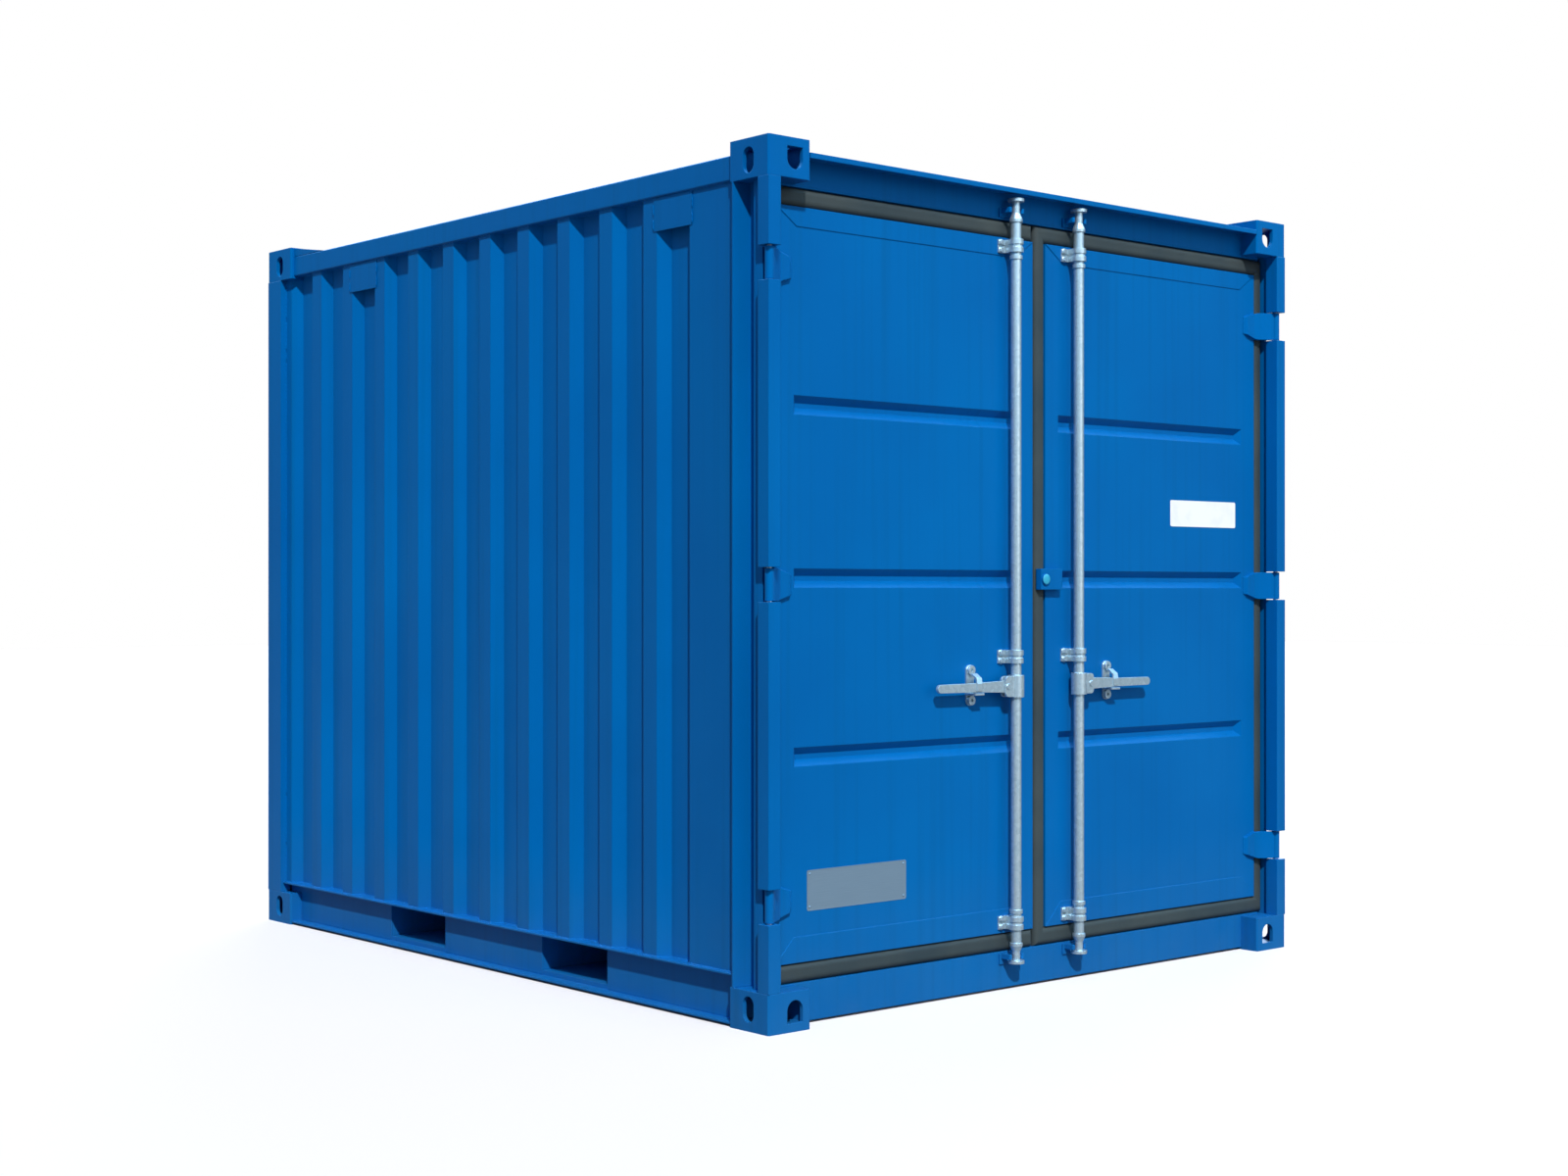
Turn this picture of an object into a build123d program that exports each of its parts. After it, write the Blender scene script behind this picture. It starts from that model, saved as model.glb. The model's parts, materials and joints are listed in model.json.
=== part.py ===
"""A 10 ft steel storage container with double swing doors, built piece by piece.

Millimetres. +X is the container's right seen from the doors, -Y is the door end, +Z is up. The origin
is the centre of the footprint, on the plane that the bottom corner castings stand on. Most left and
right pieces are mirror twins, drawn once for the left side.
"""

import os

from build123d import *

# Overall size over the corner castings
width = 2438.0
length = 2991.0
height = 2591.0

# Corner castings
casting_x = 162.0
casting_y = 178.0
casting_z = 118.0
casting_edge = 5.0
casting_side_wall = 14.0
casting_outer_plate = 22.0
casting_inner_plate = 12.0
aperture_inset = 101.5
aperture_long = 124.0
aperture_wide = 63.5
end_aperture_wide = 60.0
end_aperture_tall = 66.0
end_aperture_drop = 26.0
side_aperture_wide = 48.0
side_aperture_tall = 76.0
side_aperture_inset = 91.0
side_aperture_land = 4.0

# Sheet and section thicknesses
sheet = 2.0
post_wall = 6.0
rail_wall = 4.5
floor_thickness = 28.0

# Door posts: the nose carries the hinges, and behind it the section is open to the side
nose_wide = 47.0
nose_deep = 48.0
neck_start = 28.0
neck_end = 36.0
jamb_front = 93.0
jamb_inner = 64.0
post_deep = 166.0
post_slant = 10.0

# Rear posts, an open pressed section
rear_post_side = 100.0
rear_post_end = 150.0
rear_post_return = 40.0

# Rails and sheets
rail_drop = 35.0
rail_tall = 74.0
top_rail_inset = 14.0
top_rail_wide = 60.0
crest_inset = 24.0
corrugation_depth = 32.0
corrugation_pitch = 229.5
trough_mouth = 162.0
slope_run = 35.0
first_trough = 393.5
trough_margin = 30.0
rear_crest_inset = 12.0
rear_depth = 45.0
rear_pitch = 250.0
rear_mouth = 178.0
rear_slope_run = 66.0
rear_margin = 60.0
rear_rail_inset = 10.0
rear_rail_deep = 60.0
sill_bottom = 8.0
flange_top = 156.0
flange_thick = 6.0
flange_inset = 10.0
flange_inner = 69.0
web_inset = 47.0
toe_inset = 4.0
ramp_rise = 33.0
ramp_run = 222.0
ramp_wide = 28.0
end_plate_top = 200.0
end_plate_bottom = 282.0
vent_drop = 104.0
vent_land = 14.0
vent_places = (0, -3)
roof_depth = 20.0
roof_swages = 11
roof_swage_wide = 110.0
roof_swage_margin = 90.0
roof_swage_draft = 45.0
roof_lap = 30.0
roof_border = 28.0
roof_front_inset = 100.0

# Floor frame
pocket_wide = 360.0
pocket_tall = 115.0
pocket_wall = 4.0
pocket_spacing = 950.0
member_web = 4.0
member_flange = 45.0
member_base = 28.0
floor_base = 150.0
members_a_bay = 2

# Door opening and doors
frame_ledge = 123.0
lintel_drop = 91.0
stop_overlap = 43.0
door_face = 70.5
header_inset = 0.5
lip_tall = 16.0
lip_thick = 6.0
leaf_deep = 48.0
ledge_gap = 60.0
lintel_gap = 57.0
leaf_outer = 85.0
leaf_centre = 30.0
leaf_wall = 4.0
leaf_border = 58.0
proud = 2.0
bottom_rail_tall = 76.0
bottom_rail_mitre = 74.0
top_rail_tall = 58.0
top_rail_mitre = 85.0
gasket_deep = 22.0
gasket_cover = 46.7
gasket_gap = 0.3
gasket_meeting = 20.0
swage_offsets = (-507.5, 19.5, 529.5)
swage_inner = 92.0
swage_outer = 1060.0
swage_mouth = 56.0
swage_deep = 20.0
swage_draft = 45.0

# Hinges
hinge_end = 184.0
hinge_tall = 95.0
hinge_axis = 24.0
hinge_gap = 3.0
pin_radius = 8.0
pin_clearance = 0.5
pin_seat = 0.3
knuckle_radius = 14.0
knuckle_root = 12.6
lug_thick = 14.0
notch_deep = 60.0
blade_thick = 12.0
blade_reach = 147.0
blade_tip_tall = 56.0

# Lock rods, each a tube with a forged end above and below
rod_x = 150.0
rod_y = 33.5
rod_radius = 17.0
rod_clearance = 0.5
rod_below_ledge = 35.0
rod_above_lintel = 64.0
flange_radius = 26.5
flange_tall = 10.0
neck_radius = 13.0
neck_low = 38.0
neck_high = 47.0
cone_tall = 18.0
ring_radius = 21.0
ring_tall = 10.0
collar_gap = 10.0
collar_tall = 12.0

# Brackets on the leaf and keepers on the frame
bracket_tall = 42.0
bracket_wide = 94.0
bracket_low = 34.0
bracket_high = 29.0
bracket_over_handle = 94.0
plate_thick = 6.0
clamp_radius = 24.0
clamp_neck = 38.0
groove_deep = 3.0
groove_tall = 9.0
keeper_plate = 5.0
keeper_wide = 84.0
lug_gap = 22.0
lug_wide = 12.0
lug_reach = 43.5
sill_keeper_drop = 5.0
sill_keeper_tall = 34.0
sill_lug_tall = 16.0
header_keeper_rise = 7.0
header_keeper_tall = 28.0
header_lug_tall = 16.0

# Handles and their catches
handle_level = 973.0
hub_radius = 26.0
hub_tall = 70.0
ear_start = 8.0
ear_reach = 60.0
ear_tall = 66.0
ear_round = 13.0
ear_thick = 7.0
handle_pivot = 48.0
handle_pin = 5.0
pin_head = 9.0
pin_head_tall = 3.0
handle_thick = 10.0
handle_play = 0.6
eye_radius = 19.0
grip_start = 200.0
grip_radius = 14.0
handle_reach = 342.0
tip_radius = 13.0
catch_x = 325.0
catch_wide = 34.0
lobe_above = 54.0
lobe_below = 41.0
lobe_radius = 15.0
lobe_tall = 8.5
lobe_eye = 5.0
shelf_wide = 40.0
shelf_thick = 6.0
shelf_reach = 42.5
shelf_gap = 4.0
strap_wide = 23.0
strap_thick = 6.0
strap_profile = ((23.0, -10.0), (23.0, 12.0), (27.5, 30.0), (48.0, 44.5))

# Centre bracket on the meeting edge of the right leaf
seal_left = 46.0
seal_right = 56.0
seal_tall = 68.0
seal_deep = 22.0
seal_cap_x = 26.0
seal_cap_radius = 18.0
seal_cap_tall = 6.0

side_plane = width / 2
end_plane = length / 2
post_base = casting_z
post_top = height - casting_z
rail_top = height - rail_drop
rail_bottom = rail_top - rail_tall
frame_lintel = rail_top - lintel_drop
leaf_front = -end_plane + door_face
skin_front = leaf_front + proud
leaf_bottom = frame_ledge + ledge_gap
leaf_top = frame_lintel - lintel_gap
leaf_middle = (leaf_bottom + leaf_top) / 2
hinge_levels = (leaf_bottom + hinge_end, leaf_middle, leaf_top - hinge_end)
swage_levels = [leaf_middle + away for away in swage_offsets]
jamb_plane = -end_plane + jamb_front
door_width = side_plane - leaf_outer - leaf_centre
door_middle = (side_plane - leaf_outer + leaf_centre) / 2
pocket_base = floor_base - pocket_wall - pocket_tall
rear_rail_back = end_plane - rear_rail_inset
rear_rail_front = rear_rail_back - rear_rail_deep
sill_back = -end_plane + post_deep
wall_front = -end_plane + post_deep
wall_back = end_plane - rear_post_side
trough_room = length - rear_post_side - first_trough - trough_mouth - trough_margin
trough_count = int(trough_room // corrugation_pitch) + 1
rear_room = 2 * (side_plane - rear_post_end - rear_margin) - rear_mouth
rear_troughs = int(rear_room // rear_pitch) + 1
rod_line = -end_plane + rod_y
rod_bottom = frame_ledge - rod_below_ledge
rod_top = frame_lintel + rod_above_lintel
bracket_levels = (leaf_bottom + bracket_low, handle_level + bracket_over_handle, leaf_top - bracket_high)
overcut = 1.0


def finish(piece, name):
    """Label one finished piece and write it."""
    piece.part.label = name
    export_step(piece.part, f"parts/{name}.step")


def twin(piece, name, about=Plane.YZ):
    """Write the mirror image of a piece that the other side of the container has."""
    with BuildPart() as image:
        mirror(piece.part, about=about)
    finish(image, name)
    return image


def box_between(low, high, mode=Mode.ADD):
    """Add or cut the block between two corners."""
    size = [b - a for a, b in zip(low, high)]
    centre = [(a + b) / 2 for a, b in zip(low, high)]
    with Locations(tuple(centre)):
        Box(*size, mode=mode)


def cut_castings(reach):
    """Clear the corner castings' room out of a piece that runs past them."""
    inner_x = side_plane - casting_x
    inner_y = end_plane - casting_y
    for side in (-1, 1):
        for end in (-1, 1):
            xs = sorted((side * inner_x, side * (side_plane + reach)))
            ys = sorted((end * inner_y, end * (end_plane + reach)))
            box_between((xs[0], ys[0], -reach), (xs[1], ys[1], casting_z), Mode.SUBTRACT)
            box_between((xs[0], ys[0], post_top), (xs[1], ys[1], height + reach), Mode.SUBTRACT)


def corner_casting(side, end, top, name):
    """One hollow corner casting with its three outer apertures."""
    level = 1 if top else -1
    outer = height if top else 0.0
    low = height - casting_z if top else 0.0
    middle = (side * (side_plane - casting_x / 2), end * (end_plane - casting_y / 2))
    with BuildPart() as casting:
        with BuildSketch(Plane.XY.offset(low)) as plan:
            with Locations(middle):
                Rectangle(casting_x, casting_y)
            chamfer(plan.vertices(), casting_edge)
        extrude(amount=casting_z)
        cavity_low = low + (casting_inner_plate if top else casting_outer_plate)
        with BuildSketch(Plane.XY.offset(cavity_low)):
            with Locations(middle):
                Rectangle(casting_x - 2 * casting_side_wall, casting_y - 2 * casting_side_wall)
        extrude(amount=casting_z - casting_outer_plate - casting_inner_plate, mode=Mode.SUBTRACT)
        with BuildSketch(Plane.XY.offset(outer)):
            with Locations((side * (side_plane - aperture_inset), end * (end_plane - aperture_inset))):
                SlotOverall(aperture_long, aperture_wide, rotation=90)
        extrude(amount=casting_outer_plate, both=True, mode=Mode.SUBTRACT)
        flat_edge = outer - level * end_aperture_drop
        round_centre = flat_edge - level * (end_aperture_tall - end_aperture_wide / 2)
        with BuildSketch(Plane.XZ.offset(-end * end_plane)):
            with Locations((side * (side_plane - aperture_inset), (flat_edge + round_centre) / 2)):
                Rectangle(end_aperture_wide, abs(flat_edge - round_centre))
            with Locations((side * (side_plane - aperture_inset), round_centre)):
                Circle(end_aperture_wide / 2)
        extrude(amount=casting_side_wall, both=True, mode=Mode.SUBTRACT)
        side_middle = outer - level * (casting_outer_plate + side_aperture_land + side_aperture_tall / 2)
        with BuildSketch(Plane.YZ.offset(side * side_plane)):
            with Locations((end * (end_plane - side_aperture_inset), side_middle)):
                SlotOverall(side_aperture_tall, side_aperture_wide, rotation=90)
        extrude(amount=casting_side_wall, both=True, mode=Mode.SUBTRACT)
    finish(casting, name)


def post_point(u, v):
    """A plan point of the left door post, u in from the side and v back from the front."""
    return (-side_plane + u, -end_plane + v)


def door_post():
    """The left door post: hinge nose, neck and a deep section open to the side."""
    outline = [
        post_point(0, 0),
        post_point(nose_wide, 0),
        post_point(nose_wide, nose_deep),
        post_point(neck_end, nose_deep),
        post_point(neck_end, jamb_front),
        post_point(jamb_inner, jamb_front),
        post_point(jamb_inner, post_deep),
        post_point(0, post_deep),
        post_point(0, post_deep - post_wall),
        post_point(jamb_inner - post_wall, post_deep - post_wall - post_slant),
        post_point(jamb_inner - post_wall, jamb_front + post_wall),
        post_point(neck_start, jamb_front + post_wall),
        post_point(neck_start, nose_deep),
        post_point(0, nose_deep),
    ]
    nose_middle = post_point(nose_wide / 2, nose_deep / 2)
    axis_point = post_point(hinge_axis, hinge_axis)
    with BuildPart() as post:
        with BuildSketch(Plane.XY.offset(post_base)):
            with BuildLine():
                Polyline(outline, close=True)
            make_face()
            with Locations(nose_middle):
                Rectangle(nose_wide - 2 * post_wall, nose_deep - 2 * post_wall, mode=Mode.SUBTRACT)
        extrude(amount=post_top - post_base)
        for level in hinge_levels:
            half = hinge_tall / 2 + hinge_gap
            for low in (level - half - lug_thick, level + half):
                with BuildSketch(Plane.XY.offset(low)):
                    with Locations(nose_middle):
                        Rectangle(nose_wide - post_wall, nose_deep - post_wall)
                extrude(amount=lug_thick)
            low_corner = (*post_point(-post_wall, -post_wall), level - half)
            high_corner = (*post_point(nose_wide + post_wall, notch_deep), level + half)
            box_between(low_corner, high_corner, Mode.SUBTRACT)
            with BuildSketch(Plane.XY.offset(level)):
                with Locations(axis_point):
                    Circle(pin_radius + pin_seat)
            extrude(amount=half + lug_thick + overcut, both=True, mode=Mode.SUBTRACT)
    return post


def rear_post():
    """The left rear post, one pressed open section."""
    with BuildPart() as post:
        with BuildSketch(Plane.XY.offset(post_base)):
            with BuildLine():
                Polyline(
                    (-side_plane + rear_post_return, end_plane - rear_post_side),
                    (-side_plane, end_plane - rear_post_side),
                    (-side_plane, end_plane),
                    (-side_plane + rear_post_end, end_plane),
                    (-side_plane + rear_post_end, end_plane - rear_post_return),
                )
                offset(amount=post_wall, side=Side.RIGHT, kind=Kind.INTERSECTION)
            make_face()
        extrude(amount=post_top - post_base)
    return post


def corrugated_points(start, end, first, count, pitch, mouth, run, depth):
    """Crest and trough corners along a sheet, as (along, inward) pairs."""
    points = [(start, 0.0)]
    for index in range(count):
        edge = first + index * pitch
        points += [(edge, 0.0), (edge + run, depth), (edge + mouth - run, depth), (edge + mouth, 0.0)]
    points.append((end, 0.0))
    return points


def side_wall():
    """The left side wall, one corrugated sheet from post to post."""
    corners = corrugated_points(
        wall_front, wall_back, -end_plane + first_trough, trough_count, corrugation_pitch,
        trough_mouth, slope_run, corrugation_depth,
    )
    crest = -side_plane + crest_inset
    with BuildPart() as wall:
        with BuildSketch(Plane.XY.offset(flange_top)):
            with BuildLine():
                Polyline([(crest + inward, along) for along, inward in corners])
                offset(amount=sheet, side=Side.RIGHT, kind=Kind.INTERSECTION)
            make_face()
        extrude(amount=rail_bottom - flange_top)
        cut_castings(post_wall)
    return wall


def rear_wall():
    """The rear wall, one corrugated sheet between the rear posts."""
    half = side_plane - rear_post_end
    first = -(rear_pitch * (rear_troughs - 1) + rear_mouth) / 2
    corners = corrugated_points(
        -half, half, first, rear_troughs, rear_pitch, rear_mouth, rear_slope_run, rear_depth,
    )
    crest = end_plane - rear_crest_inset
    with BuildPart() as wall:
        with BuildSketch(Plane.XY.offset(flange_top)):
            with BuildLine():
                Polyline([(along, crest - inward) for along, inward in corners])
                offset(amount=sheet, side=Side.RIGHT, kind=Kind.INTERSECTION)
            make_face()
        extrude(amount=rail_bottom - flange_top)
        cut_castings(post_wall)
    finish(wall, "rear_wall")


def top_side_rail():
    """The left top side rail, a box section with a ramp up to the rear casting."""
    outer = -side_plane + top_rail_inset
    casting_end = end_plane - casting_y
    with BuildPart() as rail:
        with BuildSketch(Plane.XZ):
            with Locations((outer + top_rail_wide / 2, (rail_bottom + rail_top) / 2)):
                RectangleRounded(top_rail_wide, rail_tall, rail_wall)
                Rectangle(top_rail_wide - 2 * rail_wall, rail_tall - 2 * rail_wall, mode=Mode.SUBTRACT)
        extrude(amount=casting_end, both=True)
        with BuildSketch(Plane.YZ.offset(outer)):
            with BuildLine():
                Polyline(
                    (casting_end, rail_top),
                    (casting_end, rail_top + ramp_rise),
                    (casting_end - ramp_run, rail_top),
                    close=True,
                )
            make_face()
        extrude(amount=ramp_wide)
    return rail


def bottom_side_rail():
    """The left bottom side rail's flange and toe, each with its strips beside the fork pockets."""
    x_toe = -side_plane + toe_inset
    x_flange = -side_plane + flange_inset
    x_web = -side_plane + web_inset
    x_back = x_web + rail_wall
    x_inner = -side_plane + flange_inner
    toe_top = sill_bottom + flange_thick
    flange_bottom = flange_top - flange_thick
    casting_end = end_plane - casting_y
    with BuildPart() as rail:
        box_between((x_toe, -casting_end, sill_bottom), (x_back, casting_end, toe_top))
        box_between((x_flange, wall_front, flange_bottom), (x_inner, wall_back, flange_top))
        for place in (-pocket_spacing / 2, pocket_spacing / 2):
            for low, high in ((toe_top, pocket_base), (pocket_base + pocket_tall, flange_bottom)):
                box_between(
                    (x_web, place - pocket_wide / 2, low),
                    (x_back, place + pocket_wide / 2, high),
                )
    return rail


def side_plate(side, inset, thick, outline):
    """Add one upright plate to the piece in work, from (along, level) corners."""
    with BuildSketch(Plane.YZ.offset(side * (side_plane - inset))) as face:
        with BuildLine():
            Polyline(*outline, close=True)
        make_face()
    extrude(face.sketch, amount=-side * thick)


def bottom_rail_webs():
    """The upright plates of both bottom side rails: the webs and the slanted rear end plates."""
    toe_top = sill_bottom + flange_thick
    flange_bottom = flange_top - flange_thick
    casting_end = end_plane - casting_y
    near = (pocket_spacing - pocket_wide) / 2
    far = (pocket_spacing + pocket_wide) / 2
    with BuildPart() as webs:
        for side in (-1, 1):
            for start, end in ((wall_front, -far), (-near, near), (far, wall_back)):
                side_plate(
                    side, web_inset, rail_wall,
                    [(start, toe_top), (start, flange_bottom), (end, flange_bottom), (end, toe_top)],
                )
            side_plate(
                side, flange_inset, flange_thick,
                [
                    (casting_end - end_plate_bottom, toe_top),
                    (casting_end - end_plate_top, flange_bottom),
                    (wall_back, flange_bottom),
                    (wall_back, toe_top),
                ],
            )
        cut_castings(post_wall)
    finish(webs, "bottom_rail_webs")


def rear_rails():
    """The two box rails across the rear end, between the castings."""
    half = side_plane - casting_x
    deep = rear_rail_deep
    for name, low, high in (
        ("rear_bottom_rail", sill_bottom, flange_top),
        ("rear_top_rail", rail_bottom, rail_top),
    ):
        with BuildPart() as rail:
            with BuildSketch(Plane.YZ):
                with Locations((rear_rail_back - deep / 2, (low + high) / 2)):
                    RectangleRounded(deep, high - low, rail_wall)
                    Rectangle(deep - 2 * rail_wall, high - low - 2 * rail_wall, mode=Mode.SUBTRACT)
            extrude(amount=half, both=True)
        finish(rail, name)


def end_member(outline, lip, name):
    """A closed folded section across the door end, with an optional lip in front of it."""
    with BuildPart() as member:
        with BuildSketch(Plane.YZ):
            with BuildLine():
                Polyline(outline, close=True)
            make_face()
            offset(amount=-rail_wall, kind=Kind.INTERSECTION, mode=Mode.SUBTRACT)
            if lip:
                with BuildLine():
                    Polyline(lip, close=True)
                make_face()
        extrude(amount=side_plane - jamb_inner, both=True)
        cut_castings(post_wall)
    finish(member, name)


def door_header():
    """The header over the doors: folded rain lip, recessed web and door stop."""
    front = -end_plane + header_inset
    stop = frame_lintel - stop_overlap
    outline = [
        (leaf_front, rail_top),
        (sill_back, rail_top),
        (sill_back, stop),
        (jamb_plane, stop),
        (jamb_plane, frame_lintel),
        (leaf_front, frame_lintel),
    ]
    lip = [
        (front, rail_top - lip_tall),
        (front, rail_top),
        (leaf_front, rail_top),
        (leaf_front, rail_top - lip_thick),
        (front + lip_thick, rail_top - lip_thick),
        (front + lip_thick, rail_top - lip_tall),
    ]
    end_member(outline, lip, "door_header")


def door_sill():
    """The sill under the doors, with a ledge and the door stop behind it."""
    stop = frame_ledge + stop_overlap
    outline = [
        (leaf_front, sill_bottom),
        (leaf_front, frame_ledge),
        (jamb_plane, frame_ledge),
        (jamb_plane, stop),
        (sill_back, stop),
        (sill_back, sill_bottom),
    ]
    end_member(outline, None, "door_sill")


def roof_panel():
    """The roof sheet welded on the side rails, with transverse pressings."""
    half_x = side_plane - top_rail_inset - top_rail_wide + roof_lap
    half_y = end_plane - casting_y
    pitch = 2 * (half_y - roof_border) / roof_swages
    swage_long = 2 * (side_plane - top_rail_inset - top_rail_wide - roof_swage_margin)
    with BuildPart() as roof:
        with BuildSketch(Plane.XY.offset(rail_top)):
            Rectangle(2 * half_x, 2 * half_y)
        extrude(amount=sheet)
        with BuildSketch(Plane.XY.offset(rail_top)):
            with GridLocations(pitch, pitch, 1, roof_swages):
                Rectangle(swage_long, roof_swage_wide)
        extrude(amount=-roof_depth, taper=roof_swage_draft)
        with BuildSketch(Plane.XY.offset(rail_top + sheet)):
            with GridLocations(pitch, pitch, 1, roof_swages):
                Rectangle(swage_long, roof_swage_wide)
        extrude(amount=-roof_depth, taper=roof_swage_draft, mode=Mode.SUBTRACT)
    finish(roof, "roof_panel")


def roof_end_plates():
    """The roof's two flat end strips, between the top castings."""
    half_x = side_plane - casting_x
    casting_end = end_plane - casting_y
    with BuildPart() as plates:
        for start, end in (
            (-end_plane + roof_front_inset, -casting_end),
            (casting_end, rear_rail_front + roof_lap),
        ):
            box_between((-half_x, start, rail_top), (half_x, end, rail_top + sheet))
    finish(plates, "roof_end_plates")


def floor_frame():
    """Floor boards and cross members."""
    half_x = side_plane - flange_inner
    with BuildPart() as boards:
        box_between((-half_x, sill_back, floor_base), (half_x, rear_rail_front, floor_base + floor_thickness))
    finish(boards, "floor")
    web_back = side_plane - web_inset - rail_wall
    pocket_half = pocket_wide / 2 + pocket_wall
    inner = pocket_spacing / 2 - pocket_half
    outer = pocket_spacing / 2 + pocket_half
    tall = floor_base - member_base
    with BuildPart() as members:
        for low, high in ((sill_back, -outer), (-inner, inner), (outer, rear_rail_front)):
            for index in range(members_a_bay):
                row = low + (high - low) * (index + 1) / (members_a_bay + 1)
                with BuildSketch(Plane.YZ):
                    with Locations((row, member_base + tall / 2)):
                        Rectangle(member_flange, tall)
                    with Locations((row + member_web, member_base + tall / 2)):
                        Rectangle(member_flange, tall - 2 * member_web, mode=Mode.SUBTRACT)
                extrude(amount=web_back, both=True)
    finish(members, "floor_cross_members")


def fork_pockets():
    """The two fork pockets: a top and a bottom plate each, and four upright plates between them."""
    half_x = side_plane - web_inset - rail_wall
    half_y = pocket_wide / 2 + pocket_wall
    pocket_top = pocket_base + pocket_tall
    for name, place in (("fork_pocket_front", -pocket_spacing / 2), ("fork_pocket_rear", pocket_spacing / 2)):
        with BuildPart() as plates:
            for low in (pocket_base - pocket_wall, pocket_top):
                box_between((-half_x, place - half_y, low), (half_x, place + half_y, low + pocket_wall))
        finish(plates, name)
    with BuildPart() as webs:
        for place in (-pocket_spacing / 2, pocket_spacing / 2):
            for start in (place - half_y, place + pocket_wide / 2):
                box_between((-half_x, start, pocket_base), (half_x, start + pocket_wall, pocket_top))
    finish(webs, "fork_pocket_webs")


def vent_covers():
    """Flat covers over two trough tops in each side wall, open below for the air."""
    crest = side_plane - crest_inset
    with BuildPart() as covers:
        for side in (-1, 1):
            for place in vent_places:
                low = -end_plane + first_trough + place % trough_count * corrugation_pitch
                xs = sorted((side * crest, side * (crest + sheet)))
                box_between(
                    (xs[0], low - vent_land, rail_bottom - vent_drop),
                    (xs[1], low + trough_mouth + vent_land, rail_bottom),
                )
    finish(covers, "vent_covers")


def hinge_pins():
    """Six hinge pins, held in the post noses."""
    half = hinge_tall / 2 + hinge_gap + lug_thick
    with BuildPart() as pins:
        for side in (-1, 1):
            for level in hinge_levels:
                with BuildSketch(Plane.XY.offset(level - half)):
                    with Locations((side * (side_plane - hinge_axis), -end_plane + hinge_axis)):
                        Circle(pin_radius)
                extrude(amount=2 * half)
    finish(pins, "hinge_pins")


def keeper(centre, plate_low, plate_tall, lug_low, lug_tall):
    """Add one keeper to the piece in work: a back plate and two round-nosed lugs."""
    box_between(
        (centre - keeper_wide / 2, leaf_front - keeper_plate, plate_low),
        (centre + keeper_wide / 2, leaf_front, plate_low + plate_tall),
    )
    nose = leaf_front - lug_reach + lug_wide / 2
    with BuildSketch(Plane.XY.offset(lug_low)) as lugs:
        for hand in (-1, 1):
            x = centre + hand * (lug_gap + lug_wide / 2)
            with Locations((x, nose)):
                Circle(lug_wide / 2)
            with Locations((x, (nose + leaf_front) / 2)):
                Rectangle(lug_wide, leaf_front - nose)
    extrude(lugs.sketch, amount=lug_tall)


def rod_keepers():
    """Keepers for the rod ends on the sill and the header, open to the front."""
    sill_top = frame_ledge - sill_keeper_drop
    header_low = frame_lintel + header_keeper_rise
    with BuildPart() as keepers:
        for side in (-1, 1):
            keeper(
                side * rod_x, sill_top - sill_keeper_tall, sill_keeper_tall,
                sill_top - sill_lug_tall, sill_lug_tall,
            )
            keeper(
                side * rod_x, header_low, header_keeper_tall,
                header_low + header_keeper_tall - header_lug_tall, header_lug_tall,
            )
    finish(keepers, "rod_keepers")


def leaf_rail(side, edge, inner, mitre):
    """Add one proud rail to the leaf in work, its two ends mitred between the two levels."""
    outer = side_plane - leaf_outer
    with BuildSketch(Plane.XZ.offset(-leaf_front)) as face:
        with BuildLine():
            Polyline(
                (side * leaf_centre, edge),
                (side * outer, edge),
                (side * (outer - mitre), inner),
                (side * (leaf_centre + mitre), inner),
                close=True,
            )
        make_face()
    extrude(face.sketch, amount=-proud)


def door_panel(side, name):
    """One door leaf: a channel frame flush with a pressed sheet, its two rails standing proud."""
    middle = (side * door_middle, leaf_middle)
    tall = leaf_top - leaf_bottom
    open_wide = door_width - 2 * leaf_border
    open_tall = tall - 2 * leaf_border
    swage_middle = side * (swage_inner + swage_outer) / 2
    swage_long = swage_outer - swage_inner
    with BuildPart() as leaf:
        with BuildSketch(Plane.XZ.offset(-skin_front)):
            with Locations(middle):
                Rectangle(door_width, tall)
                Rectangle(open_wide, open_tall, mode=Mode.SUBTRACT)
        extrude(amount=-leaf_deep)
        with BuildSketch(Plane.XZ.offset(-(skin_front + leaf_wall))):
            with Locations(middle):
                Rectangle(door_width - 2 * leaf_wall, tall - 2 * leaf_wall)
                Rectangle(open_wide + 2 * leaf_wall, open_tall + 2 * leaf_wall, mode=Mode.SUBTRACT)
        extrude(amount=-leaf_deep, mode=Mode.SUBTRACT)
        with BuildSketch(Plane.XZ.offset(-skin_front)):
            with Locations(middle):
                Rectangle(open_wide, open_tall)
        extrude(amount=-sheet)
        into = Plane(origin=(0, skin_front, 0), x_dir=(1, 0, 0), z_dir=(0, 1, 0))
        places = [(swage_middle, -level) for level in swage_levels]
        with BuildSketch(into.offset(sheet)):
            with Locations(*places):
                Rectangle(swage_long, swage_mouth)
        extrude(amount=swage_deep, taper=swage_draft)
        with BuildSketch(into):
            with Locations(*places):
                Rectangle(swage_long, swage_mouth)
        extrude(amount=swage_deep, taper=swage_draft, mode=Mode.SUBTRACT)
        leaf_rail(side, leaf_bottom, leaf_bottom + bottom_rail_tall, bottom_rail_mitre)
        leaf_rail(side, leaf_top, leaf_top - top_rail_tall, top_rail_mitre)
    finish(leaf, name)


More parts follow.
